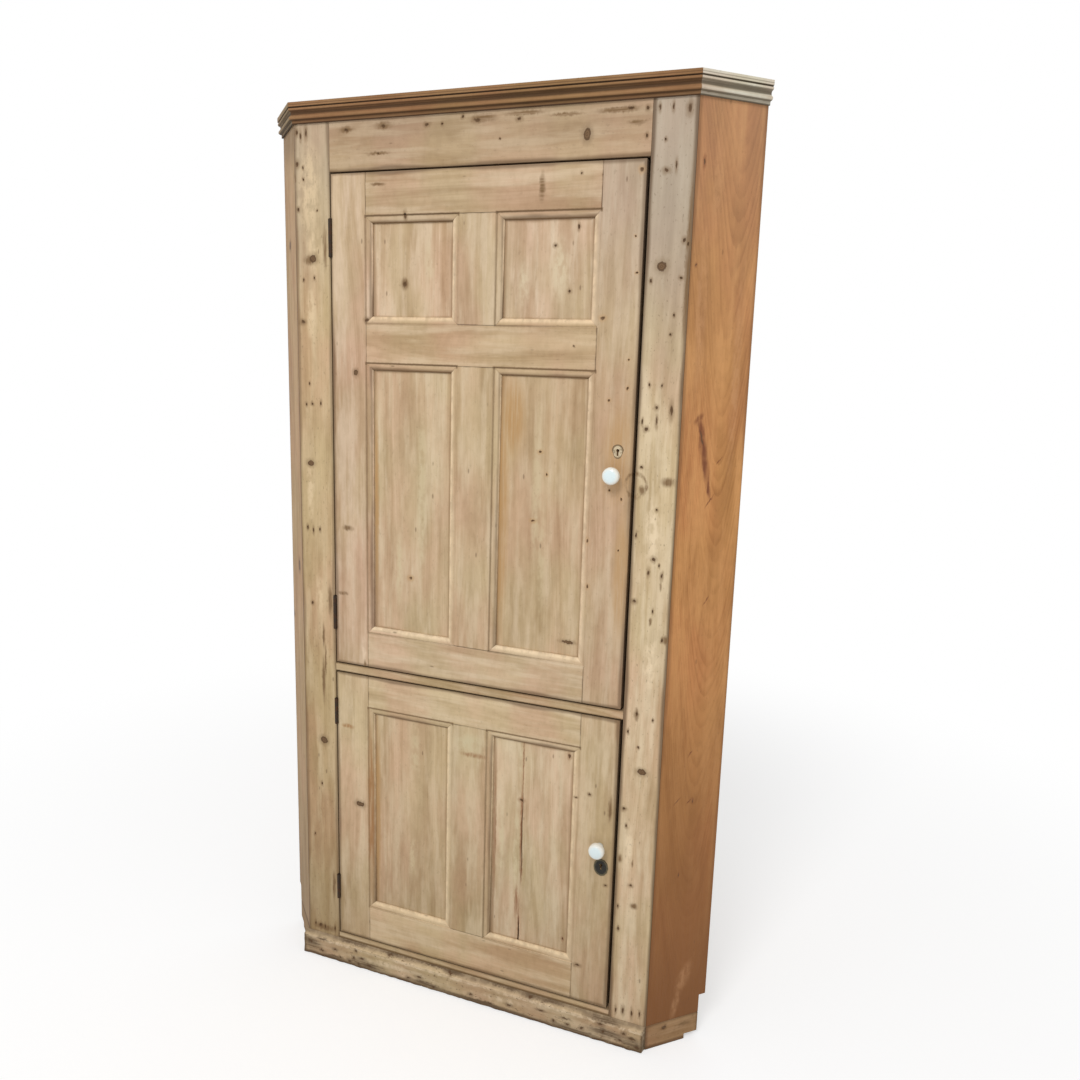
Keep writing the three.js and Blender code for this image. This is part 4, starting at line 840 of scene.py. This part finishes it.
# The plinth gets a painted highlight along its bevel's arris and on its slopes that look up, and painted shade
# along the floor, under the bottom board and at its right end.
plinth_finish = pine(
    "plinth_front", (196, 171, 139), LEVEL, (0.01, 0.04), specks=1.0, pepper=0.75, grime=0.5, rubbed=0.4,
    rub_depth=0.020, dirt_share=0.5, smear=srgb(104, 84, 62),
    holes=[(-435, 36, 8, 5), (-400, 18, 6, 3), (-362, 30, 5, 3), (-345, 16, 4, 2), (-318, 12, 5, 3),
           (-306, 22, 3, 4), (-283, 28, 8, 3), (-262, 14, 9, 3), (-300, 44, 3, 3), (-292, 10, 4, 3),
           (-205, 56, 7, 2), (-150, 14, 5, 3), (-120, 24, 7, 3), (-80, 10, 4, 3), (-38, 56, 9, 2),
           (20, 20, 5, 3), (70, 12, 7, 2), (120, 22, 6, 3), (170, 56, 6, 3), (200, 34, 8, 2),
           (232, 16, 4, 3), (260, 32, 9, 2), (266, 18, 4, 3), (300, 20, 4, 3), (345, 44, 7, 3),
           (352, 28, 4, 4), (392, 18, 6, 3), (400, 38, 4, 3), (420, 30, 10, 3), (432, 12, 8, 4)],
    smears=[(-430, 30, 30, 20), (-400, 50, 20, 4), (-270, 16, 60, 10), (-360, 10, 40, 6), (50, 8, 120, 6),
            (-100, 12, 50, 8), (360, 26, 50, 14), (200, 58, 60, 4), (350, 54, 50, 5), (420, 18, 30, 10),
            (-200, 58, 30, 3), (-30, 58, 30, 3), (-452, 30, 10, 30), (445, 25, 1.5, 30), (-310, 58, 50, 3),
            (-100, 59.5, 100, 2), (100, 59, 50, 3), (280, 10, 80, 6)],
    pale=[(-80, 48.5, 200, 4), (240, 48.5, 200, 4), (-340, 48.5, 100, 3.5), (410, 48.5, 50, 3.5),
          (100, 30, 50, 8), (-200, 32, 40, 8)],
    levels=[(0.0, 0.014, 0.8), (0.060, 0.005, 0.9)],
)
put_in_place(plinth, "plinth_front", plinth_finish, PLINTH_SMOOTHING)
dress_board(
    "plinth_left_return", "front_pine", (160, 132, 100), LEVEL, (0.01, 0.04), turn=-RETURN_TURN,
    width=PLINTH_FOOT_ARRIS, grime=0.3, specks=0.8,
)
dress_board(
    "plinth_right_return", "front_pine", (178, 140, 105), LEVEL, (0.01, 0.04), turn=RETURN_TURN,
    start=RETURN_START, width=PLINTH_FOOT_ARRIS, grime=0.25, specks=0.8, pepper=0.4,
    knots=[(47, 44, 5, 4)], smears=[(100, 40, 20, 6)], levels=[(0.002, 0.010, 0.7)],
)

# Doors
# Each door is framed in pine with mortises and tenons. The moulding is worked on the framing itself and
# mitred at the panels' corners, and the flat panels stand loose in grooves.
PANEL_HIDDEN_EDGE = 0.0087
PANEL_TO_FRAME = 0.0068
OLD_EDGE_IN = 0.006


def opening_round(panel):
    """The opening between the flat faces of the framing, in which a panel shows."""
    low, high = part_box(panel)
    margin = Vector((PANEL_TO_FRAME, 0, PANEL_TO_FRAME))
    return low - margin, high + margin


TALL_LEFT, TALL_RIGHT = opening_round("tall_left_panel"), opening_round("tall_right_panel")
SMALL_LEFT, SMALL_RIGHT = opening_round("small_left_panel"), opening_round("small_right_panel")
LOWER_LEFT, LOWER_RIGHT = opening_round("lower_left_panel"), opening_round("lower_right_panel")

RAIL = dict(lay=LEVEL, joints=[(0, TALL_LEFT[0].x), (0, TALL_RIGHT[1].x)])
DOOR_ARRIS = 0.0008

DOOR_FRAMING = {
    "upper_door_hinge_stile": dict(
        colour=(200, 172, 144), pith=(0.06, 0.05), openings=[TALL_LEFT, SMALL_LEFT],
        knots=[(-295, 1474, 5, 6)], holes=[(-265, 1589, 5, 4)],
        smears=[(-319, 1120, 16, 7), (-334, 964, 16, 5), (-276, 797, 3, 10)],
        pale=[(-278, 835, 6, 30)]),
    "upper_door_lock_stile": dict(
        colour=(195, 168, 138), pith=(-0.06, 0.07), openings=[TALL_RIGHT, SMALL_RIGHT],
        holes=[(343, 1876, 4, 5), (337, 1754, 2, 2), (343, 1686, 3, 2), (277, 1600, 5, 4),
               (297, 1439, 3, 3), (306, 1258, 3, 3), (332, 1241, 2, 4), (263, 1148, 3, 5),
               (331, 1135, 2, 3), (267, 1051, 3, 4), (334, 1520, 2, 2), (335, 1465, 2, 3)],
        grey_above=(1.6, 2.05, 0, 0.35), rims=[(356, 1272, 16, 22)], smear=srgb(188, 151, 108),
        smears=[(322, 1330, 36, 110), (338, 1090, 18, 150)]),
    "upper_door_top_rail": dict(
        RAIL, colour=(192, 165, 135), pith=(0.03, 0.05), openings=[SMALL_LEFT, SMALL_RIGHT],
        holes=[(-170, 1804, 3, 7), (222, 1874, 2, 2), (267, 1868, 2, 2)],
        smears=[(140, 1851, 7, 30), (-236, 1870, 20, 4)]),
    "upper_door_cross_rail": dict(
        RAIL, colour=(196, 168, 136), pith=(-0.02, 0.06),
        openings=[TALL_LEFT, TALL_RIGHT, SMALL_LEFT, SMALL_RIGHT], holes=[(218, 1544, 2, 2)]),
    "upper_door_bottom_rail": dict(
        RAIL, colour=(202, 176, 145), pith=(0.02, 0.05), openings=[TALL_LEFT, TALL_RIGHT]),
    "upper_door_lower_muntin": dict(
        colour=(197, 171, 139), pith=(0.01, 0.06), openings=[TALL_LEFT, TALL_RIGHT],
        joints=[(2, corner.z) for corner in TALL_LEFT]),
    "upper_door_upper_muntin": dict(
        colour=(196, 170, 140), pith=(0.03, 0.05), openings=[SMALL_LEFT, SMALL_RIGHT],
        joints=[(2, corner.z) for corner in SMALL_LEFT]),
    "lower_door_hinge_stile": dict(
        colour=(203, 177, 144), pith=(0.05, 0.06), openings=[LOWER_LEFT], foot=0.2,
        knots=[(-292, 438, 10, 6)], smear=srgb(164, 120, 76),
        smears=[(-325, 634, 18, 6), ((LOWER_LEFT[0].x + OLD_EDGE_IN) * MM_IN_A_METRE, 430, 9, 260)]),
    "lower_door_lock_stile": dict(
        colour=(200, 174, 141), pith=(-0.05, 0.05), openings=[LOWER_RIGHT], foot=0.2,
        holes=[(292, 586, 3, 3), (260, 572, 3, 2), (279, 165, 6, 3), (337, 379, 3, 3)],
        smears=[(340, 560, 5, 30)]),
    "lower_door_top_rail": dict(
        RAIL, colour=(204, 178, 145), pith=(0.02, 0.06), openings=[LOWER_LEFT, LOWER_RIGHT]),
    "lower_door_bottom_rail": dict(
        RAIL, colour=(212, 184, 149), pith=(-0.01, 0.05), openings=[LOWER_LEFT, LOWER_RIGHT], foot=0.15),
    "lower_door_muntin": dict(
        colour=(197, 172, 139), pith=(0.02, 0.05), openings=[LOWER_LEFT, LOWER_RIGHT],
        joints=[(2, corner.z) for corner in LOWER_LEFT],
        pale=[(0, 651, 40, 22)], pale_share=0.95, pale_tone=(1.05, 1.11, 1.11),
        smear=srgb(164, 128, 92), smears=[(12, 623, 36, 6.5)]),
}
# Their mouldings get painted highlight and painted shade by the way their slopes look.
for node, choices in DOOR_FRAMING.items():
    dress_board(node, "front_pine", rubbed=0.95, width=DOOR_ARRIS, **choices)

PANEL_AMBER = srgb(184, 145, 97)
# The line along a panel's edges is painted shade with dirt in it.
PANEL_EDGE_DIRT = srgb(138, 102, 66)
TEAR_BROWN = srgb(150, 108, 76)
CHALKY = (1.05, 1.10, 1.09)


def dress_panel(node, old_edge, streaks, old_patches=(), smears=(), pale=(), **looks):
    """A panel with pale streaks, and with stains where old finish has stayed in patches and along its left
    edge, between two shares of its height. Streaks and patches lie at shares of its width and height."""
    low, high = (corner * MM_IN_A_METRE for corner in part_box(node))
    size = high - low

    def by_shares(marks):
        return [(low.x + size.x * across, low.z + size.z * up, *half) for across, up, *half in marks]

    smears = [*smears, *by_shares(old_patches)]
    if old_edge:
        foot, head, half_width = old_edge
        across = low.x + (PANEL_HIDDEN_EDGE + OLD_EDGE_IN) * MM_IN_A_METRE
        up = low.z + size.z * (foot + head) / 2
        smears.append((across, up, half_width, size.z * (head - foot) / 2))
    dress_board(node, "front_pine", inset=PANEL_HIDDEN_EDGE, grime=0.28, edge_dirt=PANEL_EDGE_DIRT,
                pale_tone=CHALKY, smears=smears, pale=[*pale, *by_shares(streaks)], **looks)


DOOR_PANELS = {
    "small_left_panel": dict(
        colour=(202, 175, 145), pith=(0.02, 0.05), old_edge=None, streaks=[(0.7, 0.6, 14, 50)],
        holes=[(-175, 1665, 5, 6)], smears=[(-174, 1668, 8, 12)]),
    "small_right_panel": dict(
        colour=(206, 182, 154), pith=(-0.01, 0.05), old_edge=None,
        streaks=[(0.62, 0.5, 20, 60), (0.25, 0.35, 12, 50)],
        holes=[(218, 1775, 2, 5), (169, 1740, 3, 3), (202, 1652, 3, 3)]),
    "tall_left_panel": dict(
        colour=(198, 173, 141), pith=(0.01, 0.045), ring=0.004, smear=PANEL_AMBER, old_edge=(0.1, 0.9, 6),
        streaks=[(0.62, 0.55, 12, 200), (0.35, 0.25, 10, 90)], holes=[(-159, 1018, 5, 4)]),
    "tall_right_panel": dict(
        colour=(195, 168, 136), pith=(0.04, 0.06), ring=0.004, smear=PANEL_AMBER, old_edge=(0.02, 0.98, 17),
        old_patches=[(0.18, 0.84, 30, 90)], streaks=[(0.45, 0.6, 12, 180), (0.52, 0.35, 10, 120)],
        knots=[(225, 921.5, 12, 3)], holes=[(149, 1326, 4, 3), (165, 1279, 2, 3), (137, 1178, 5, 3)]),
    "lower_left_panel": dict(
        colour=(199, 172, 139), pith=(-0.01, 0.05), ring=0.004, foot=0.2, smear=PANEL_AMBER,
        old_edge=(0.0, 0.97, 8), streaks=[(0.55, 0.82, 14, 70), (0.52, 0.30, 9, 80)]),
    "lower_right_panel": dict(
        colour=(206, 182, 150), pith=(0.06, 0.06), ring=0.004, foot=0.2, smear=TEAR_BROWN,
        old_edge=(0.1, 0.9, 4), streaks=[(0.15, 0.50, 8, 90)],
        holes=[(240, 663, 3, 6), (129, 534, 5, 4), (239, 216, 2, 4)],
        cracks=[(128.5, 150, 245, 3.6), (132.2, 335, 560, 2.2)],
        smears=[(121.5, 277, 4.5, 46), (132.5, 370, 3, 50), (130, 460, 3, 140), (131.2, 620, 1.6, 90),
                (128.5, 240, 3, 60)],
        pale=[(118, 420, 6, 120), (124, 630, 5, 40)]),
}
for node, choices in DOOR_PANELS.items():
    dress_panel(node, **choices)

# Hinges
# Four wrought iron butts are let into the left stile and the doors, each with a loose pin in five knuckles
# and three screws through each leaf. Their knuckles stand proud of the gap.


def iron(name, colour, rough, metallic):
    """Old iron: dark, with browner rust in patches and a fine pitted surface."""
    metal = Finish(name)
    cloud = metal.noise(metal.place, (90, 90, 90), 4.0, 0.6)
    pits = metal.noise(metal.place, (900, 900, 900), 3.0, 0.6)
    tint = metal.mix(metal.range(cloud, 0.42, 0.66), srgb(*colour), srgb(82, 54, 34))
    tint = metal.mix(metal.range(pits, 0.5, 0.7, 0, 0.5), tint, srgb(28, 24, 22))
    roughness = metal.range(cloud, 0.35, 0.65, rough - 0.1, rough + 0.15)
    return metal.surface(tint, roughness, (0.4, 0.0004), pits, {"Metallic": metallic})


def dress_iron(node, finish, width, segments=2):
    """The CAD ironwork in the node's place, with its edges eased."""
    piece = take_copy(node, node + "_iron")
    ease_arrises(piece, width, SHORTEST_IRON_ARRIS, segments)
    put_in_place(piece, node, finish)


def turned(name, centre, profile, sides):
    """A round piece turned to a profile of radii, each at its distance in front of the centre."""
    radius, out = profile[0]
    bpy.ops.object.select_all(action="DESELECT")
    bpy.ops.mesh.primitive_circle_add(vertices=sides, radius=radius, fill_type="NGON",
                                      location=centre - Vector((0, out, 0)), rotation=(math.pi / 2, 0, 0))
    piece = bpy.context.object
    piece.name = name
    bpy.ops.object.transform_apply(location=True, rotation=True)
    bpy.ops.object.mode_set(mode="EDIT")
    bpy.ops.mesh.select_all(action="SELECT")
    for next_radius, next_out in profile[1:]:
        bpy.ops.mesh.extrude_region_move(TRANSFORM_OT_translate={"value": (0, out - next_out, 0)})
        share = next_radius / radius
        bpy.ops.transform.resize(value=(share, 1, share), center_override=centre - Vector((0, next_out, 0)))
        radius, out = next_radius, next_out
    bpy.ops.mesh.select_all(action="SELECT")
    bpy.ops.mesh.normals_make_consistent(inside=False)
    bpy.ops.object.mode_set(mode="OBJECT")
    return piece


SHORTEST_IRON_ARRIS = 0.004
SCREW_RADIUS = 0.0034
SCREW_SIDES = 24
SCREW_SUNK = 0.0012
SCREW_PROUD = 0.00022
SCREW_SLOT = Vector((0.0009, 0.0010, 0.0080))


def slotted_head():
    """One countersunk screw's head at the origin, facing the front, with its slot cut upright."""
    head = turned("screw_head", Vector((0, 0, 0)), [
        (SCREW_RADIUS * 0.7, -SCREW_SUNK), (SCREW_RADIUS, -SCREW_PROUD), (SCREW_RADIUS * 0.97, 0),
        (SCREW_RADIUS * 0.85, SCREW_PROUD * 0.7), (SCREW_RADIUS * 0.45, SCREW_PROUD),
    ], SCREW_SIDES)
    bpy.ops.object.select_all(action="DESELECT")
    bpy.ops.mesh.primitive_cube_add(size=1, location=(0, 0, 0), scale=SCREW_SLOT)
    bpy.ops.object.transform_apply(scale=True)
    cut_away(head, [bpy.context.object])
    return head


def fasten(name, head, places, yaw, body, finish):
    """Copies of a head at each place, turned in plan to face out, each driven round as far as it went."""
    dice = random.Random(name)
    heads = []
    for place in places:
        copy = bpy.data.objects.new(name, head.data.copy())
        bpy.context.scene.collection.objects.link(copy)
        stopped = Matrix.Rotation(dice.uniform(0, math.pi), 4, "Y")
        copy.data.transform(Matrix.Translation(place) @ Matrix.Rotation(yaw, 4, "Z") @ stopped)
        heads.append(copy)
    group = join(heads)
    group.name = name
    bpy.ops.object.shade_smooth_by_angle(angle=math.radians(35))
    group.data.materials.clear()
    group.data.materials.append(finish)
    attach(group, body)


HINGE_ARRIS = 0.0002
HINGE_IRON = iron("hinge_iron", (53, 42, 31), 0.6, 0.5)
SCREW_IRON = iron("screw_iron", (84, 76, 68), 0.45, 0.85)
SCREW_SPREAD_SHARES = (-0.34, 0.0, 0.34)
SCREW_DEPTH_SHARE = 0.62
HINGE_SEATS = {
    "frame_leaf": (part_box("left_stile")[1].x, math.pi / 2),
    "door_leaf": (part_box("upper_door_hinge_stile")[0].x, -math.pi / 2),
}
screw_head = slotted_head()
for hinge in ("upper_door_top", "upper_door_bottom", "lower_door_top", "lower_door_bottom"):
    for part in ("frame_leaf", "door_leaf", "pin"):
        dress_iron(f"{hinge}_hinge_{part}", HINGE_IRON, HINGE_ARRIS)
    for part, (face_x, yaw) in HINGE_SEATS.items():
        node = f"{hinge}_hinge_{part}"
        low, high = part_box(node)
        places = [Vector((face_x, low.y + (high.y - low.y) * SCREW_DEPTH_SHARE,
                          (low.z + high.z) / 2 + (high.z - low.z) * share)) for share in SCREW_SPREAD_SHARES]
        fasten(node + "_screws", screw_head, places, yaw, frame["nodes"][node]["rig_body"], SCREW_IRON)

# Locks
# Each door has a plain iron rim lock, with its case screwed at four corners to the back of the lock stile. A
# bright bolt slides out of it behind the right stile.
LOCK_IRON = iron("lock_iron", (62, 58, 54), 0.5, 0.85)
BOLT_BRIGHT = iron("bolt_bright", (128, 122, 112), 0.35, 0.95)
LOCK_SCREW_MARGIN = 0.006
CASE_ARRIS = 0.0008
BOLT_ARRIS = 0.0006
for door in ("upper", "lower"):
    dress_iron(door + "_lock_case", LOCK_IRON, CASE_ARRIS, 3)
    dress_iron(door + "_lock_bolt", BOLT_BRIGHT, BOLT_ARRIS, 3)
    low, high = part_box(door + "_lock_case")
    corners = [Vector((x, high.y, z)) for x in (low.x + LOCK_SCREW_MARGIN, high.x - LOCK_SCREW_MARGIN)
               for z in (low.z + LOCK_SCREW_MARGIN, high.z - LOCK_SCREW_MARGIN)]
    fasten(door + "_lock_screws", screw_head, corners, math.pi, door + "_door", SCREW_IRON)

# Escutcheons
# A small pear-shaped brass plate is let in above the upper knob, dulled to a pale tan. A larger oval one of
# dark iron hangs below the lower knob. Both have a raised rim, and the door is bored behind their keyholes.
PLATE_RIM = 0.0016
PLATE_SINK = 0.0004
PLATE_ARRIS = 0.0002
SHORTEST_PLATE_ARRIS = 0.0003
FACES_FRONT = -0.99


def raise_rim(piece, rim, sink):
    """Presses the plate's face in, so that its edge and the edge of its keyhole stand up."""
    bpy.ops.mesh.select_mode(type="FACE")
    bpy.ops.mesh.select_all(action="DESELECT")
    shell = bmesh.from_edit_mesh(piece.data)
    for face in shell.faces:
        face.select_set(face.normal.y < FACES_FRONT)
    bmesh.update_edit_mesh(piece.data)
    bpy.ops.mesh.inset(thickness=rim, depth=-sink)
    bpy.ops.mesh.select_mode(type="EDGE")


def dull_metal(node, face, dirt, rim, metallic, rough):
    """Plate metal in dull blotches, with its raised rim in its own tone and dirt round its outline."""
    low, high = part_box(node)
    middle, half = (low + high) / 2, (high - low) / 2
    metal = Finish(node + "_metal")
    reach = metal.spots(metal.place, [(middle.x, middle.z, half.x, half.z)], 2)
    blotch = metal.noise(metal.place, (160, 160, 160), 3.0, 0.6)
    grit = metal.noise(metal.place, (1100, 1100, 1100), 2.0, 0.6)
    tint = metal.mix(metal.range(blotch, 0.44, 0.70, 0, 0.7), srgb(*face), srgb(*dirt))
    tint = metal.mix(metal.range(reach, 0.76, 0.84, 0, 0.9), tint, srgb(*rim))
    tint = metal.mix(metal.range(reach, 0.93, 0.99, 0, 0.9), tint, srgb(*dirt))
    roughness = metal.range(blotch, 0.35, 0.65, rough - 0.1, rough + 0.12)
    return metal.surface(tint, roughness, (0.3, 0.0003), grit, {"Metallic": metallic})


ESCUTCHEONS = {
    "upper_escutcheon": ("brass", (204, 186, 154), (98, 76, 50), (128, 104, 72), 0.25, 0.55),
    "lower_escutcheon": ("iron", (34, 30, 21), (22, 19, 14), (92, 84, 60), 0.3, 0.5),
}
for node, (slot, *looks) in ESCUTCHEONS.items():
    plate = take_copy(node, node + "_plate")
    raise_rim(plate, PLATE_RIM, PLATE_SINK)
    ease_arrises(plate, PLATE_ARRIS, SHORTEST_PLATE_ARRIS)
    put_in_place(plate, node, dull_metal(node, *looks))

# Knobs
# Each is turned earthenware under a white glaze that has pooled faintly blue on its flat face, with a waisted
# foot. An iron spindle runs from it through the door, to a washer and a square nut at the back.
KNOB_RADIUS = 0.018
KNOB_HALF_DEPTH = 0.011
KNOB_HEAD_OUT = 0.023
KNOB_SQUARENESS = 0.72
KNOB_FOOT_PROFILE = [(0.0082, 0.0), (0.0088, 0.0005), (0.0090, 0.0012), (0.0090, 0.0022), (0.0086, 0.0029),
                     (0.0079, 0.0036), (0.0075, 0.0050), (0.0074, 0.0075), (0.0079, 0.0100)]
KNOB_NECK_ANGLE = -62
KNOB_SWEEP = 150
KNOB_STEPS = 22
KNOB_SIDES = 64
KNOB_SMOOTHING = 60
SPINDLE_SIDES = 20
SPINDLE_RADIUS = 0.003
SPINDLE_CHAMFER = 0.0006
WASHER_SIDES = 32
WASHER_HOLE = 0.0036
WASHER_RADIUS = 0.0070
WASHER_ROUND = 0.0004
WASHER_ROUND_DEPTH = 0.0003
WASHER_THICKNESS = 0.001
WASHER_GAP = 0.0003
NUT_TURN = math.radians(17)
NUT_ARRIS = 0.0006
SHORTEST_NUT_ARRIS = 0.001
NUT_SIZE = Vector((0.0098, 0.0028, 0.0098))
DOOR_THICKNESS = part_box("upper_door_hinge_stile")[1].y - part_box("upper_door_hinge_stile")[0].y
DOOR_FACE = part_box("upper_door_hinge_stile")[0].y


def head_profile():
    """The head's rim and face, a rounded square in section, from its neck to the middle of its face."""
    points = []
    for step in range(KNOB_STEPS + 1):
        angle = math.radians(KNOB_NECK_ANGLE + KNOB_SWEEP * step / KNOB_STEPS)
        radius = KNOB_RADIUS * math.cos(angle) ** KNOB_SQUARENESS
        out = KNOB_HALF_DEPTH * math.copysign(abs(math.sin(angle)) ** KNOB_SQUARENESS, math.sin(angle))
        points.append((radius, KNOB_HEAD_OUT + out))
    return points


def glaze(name, centre):
    """White glaze, bluer on the face, warmer at the rim, finely crazed, and darker towards the door."""
    glass = Finish(name)
    offset = glass.vector("SUBTRACT", glass.place, tuple(centre))
    spread = glass.vector("LENGTH", glass.vector("MULTIPLY", offset, (1, 0, 1)))
    tint = glass.mix(glass.range(spread, 0.0100, 0.0165), srgb(226, 240, 241), srgb(240, 238, 228))
    cells = glass.add("TexVoronoi", glass.vector("MULTIPLY", glass.place, (260, 260, 260)), None, 1.0,
                      feature="DISTANCE_TO_EDGE")
    tint = glass.mix(glass.range(cells.outputs["Distance"], 0.03, 0.0, 0, 0.16), tint, srgb(168, 160, 142))
    depth = glass.part(glass.place, 1)
    dirty = glass.range(depth, centre.y - 0.012, centre.y - 0.001, 0, 0.55)
    tint = glass.mix(dirty, tint, srgb(150, 132, 106))
    waves = glass.noise(glass.place, (140, 140, 140), 1.0, 0.5)
    return glass.surface(tint, 0.16, (0.12, 0.0006), waves, {"Coat Weight": 0.6, "Coat Roughness": 0.04})


for door in ("upper", "lower"):
    node = door + "_knob"
    low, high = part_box(node)
    middle = Vector(((low.x + high.x) / 2, DOOR_FACE, (low.z + high.z) / 2))
    knob = turned(node + "_ceramic", middle, KNOB_FOOT_PROFILE + head_profile(), KNOB_SIDES)
    put_in_place(knob, node, glaze(node + "_glaze", middle), KNOB_SMOOTHING)

    end = high.y - DOOR_FACE
    spindle = turned(node + "_spindle", middle, [
        (SPINDLE_RADIUS * 0.8, -end), (SPINDLE_RADIUS, SPINDLE_CHAMFER - end), (SPINDLE_RADIUS, 0.0),
    ], SPINDLE_SIDES)
    back = DOOR_THICKNESS + WASHER_GAP
    face = back + WASHER_THICKNESS
    washer = turned(node + "_washer", middle, [
        (WASHER_HOLE, -face), (WASHER_RADIUS - WASHER_ROUND, -face),
        (WASHER_RADIUS, WASHER_ROUND_DEPTH - face), (WASHER_RADIUS, -back - WASHER_ROUND_DEPTH),
        (WASHER_RADIUS - WASHER_ROUND, -back),
    ], WASHER_SIDES)
    nut_middle = middle + Vector((0, face + NUT_SIZE.y / 2, 0))
    bpy.ops.object.select_all(action="DESELECT")
    bpy.ops.mesh.primitive_cube_add(size=1, location=nut_middle, rotation=(0, NUT_TURN, 0))
    nut = bpy.context.object
    nut.name = node + "_nut"
    nut.scale = NUT_SIZE
    bpy.ops.object.transform_apply(location=True, rotation=True, scale=True)
    bpy.ops.object.mode_set(mode="EDIT")
    bpy.ops.mesh.select_mode(type="EDGE")
    ease_arrises(nut, NUT_ARRIS, SHORTEST_NUT_ARRIS)
    for piece in (spindle, washer, nut):
        select_only(piece)
        smooth(piece, 40)
        piece.data.materials.append(SCREW_IRON)
        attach(piece, door + "_door")

# Nails
# Old iron nails with hammered heads hold the back boards to every shelf. They are driven from the wall side,
# two to a board at each one.
NAIL_IRON = iron("nail_iron", (74, 62, 52), 0.65, 0.6)
NAIL_EDGE_SHARES = (0.2, 0.8)
NAIL_RADIUS = 0.0026
NAIL_SIDES = 9
nail = turned("nail_head", Vector((0, 0, 0)), [
    (NAIL_RADIUS * 0.6, -0.001), (NAIL_RADIUS, -0.0001), (NAIL_RADIUS * 0.95, 0.0001),
    (NAIL_RADIUS * 0.4, 0.0004),
], NAIL_SIDES)
for side, sign in (("left", 1), ("right", -1)):
    for number in (1, 2, 3):
        node = f"{side}_back_board_{number}"
        low, high = board_reach(node, sign * RETURN_TURN)
        level_turn = Matrix.Rotation(sign * RETURN_TURN, 3, "Z")
        places = []
        for shelf in ("bottom_board", "middle_shelf", "upper_shelf_1", "upper_shelf_2", "top_board"):
            shelf_low, shelf_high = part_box(shelf)
            for share in NAIL_EDGE_SHARES:
                across = low.x + (high.x - low.x) * share
                places.append(level_turn @ Vector((across, high.y, (shelf_low.z + shelf_high.z) / 2)))
        fasten(node + "_nails", nail, places, sign * RETURN_TURN + math.pi, "carcass", NAIL_IRON)
bpy.data.objects.remove(nail)
bpy.data.objects.remove(screw_head)
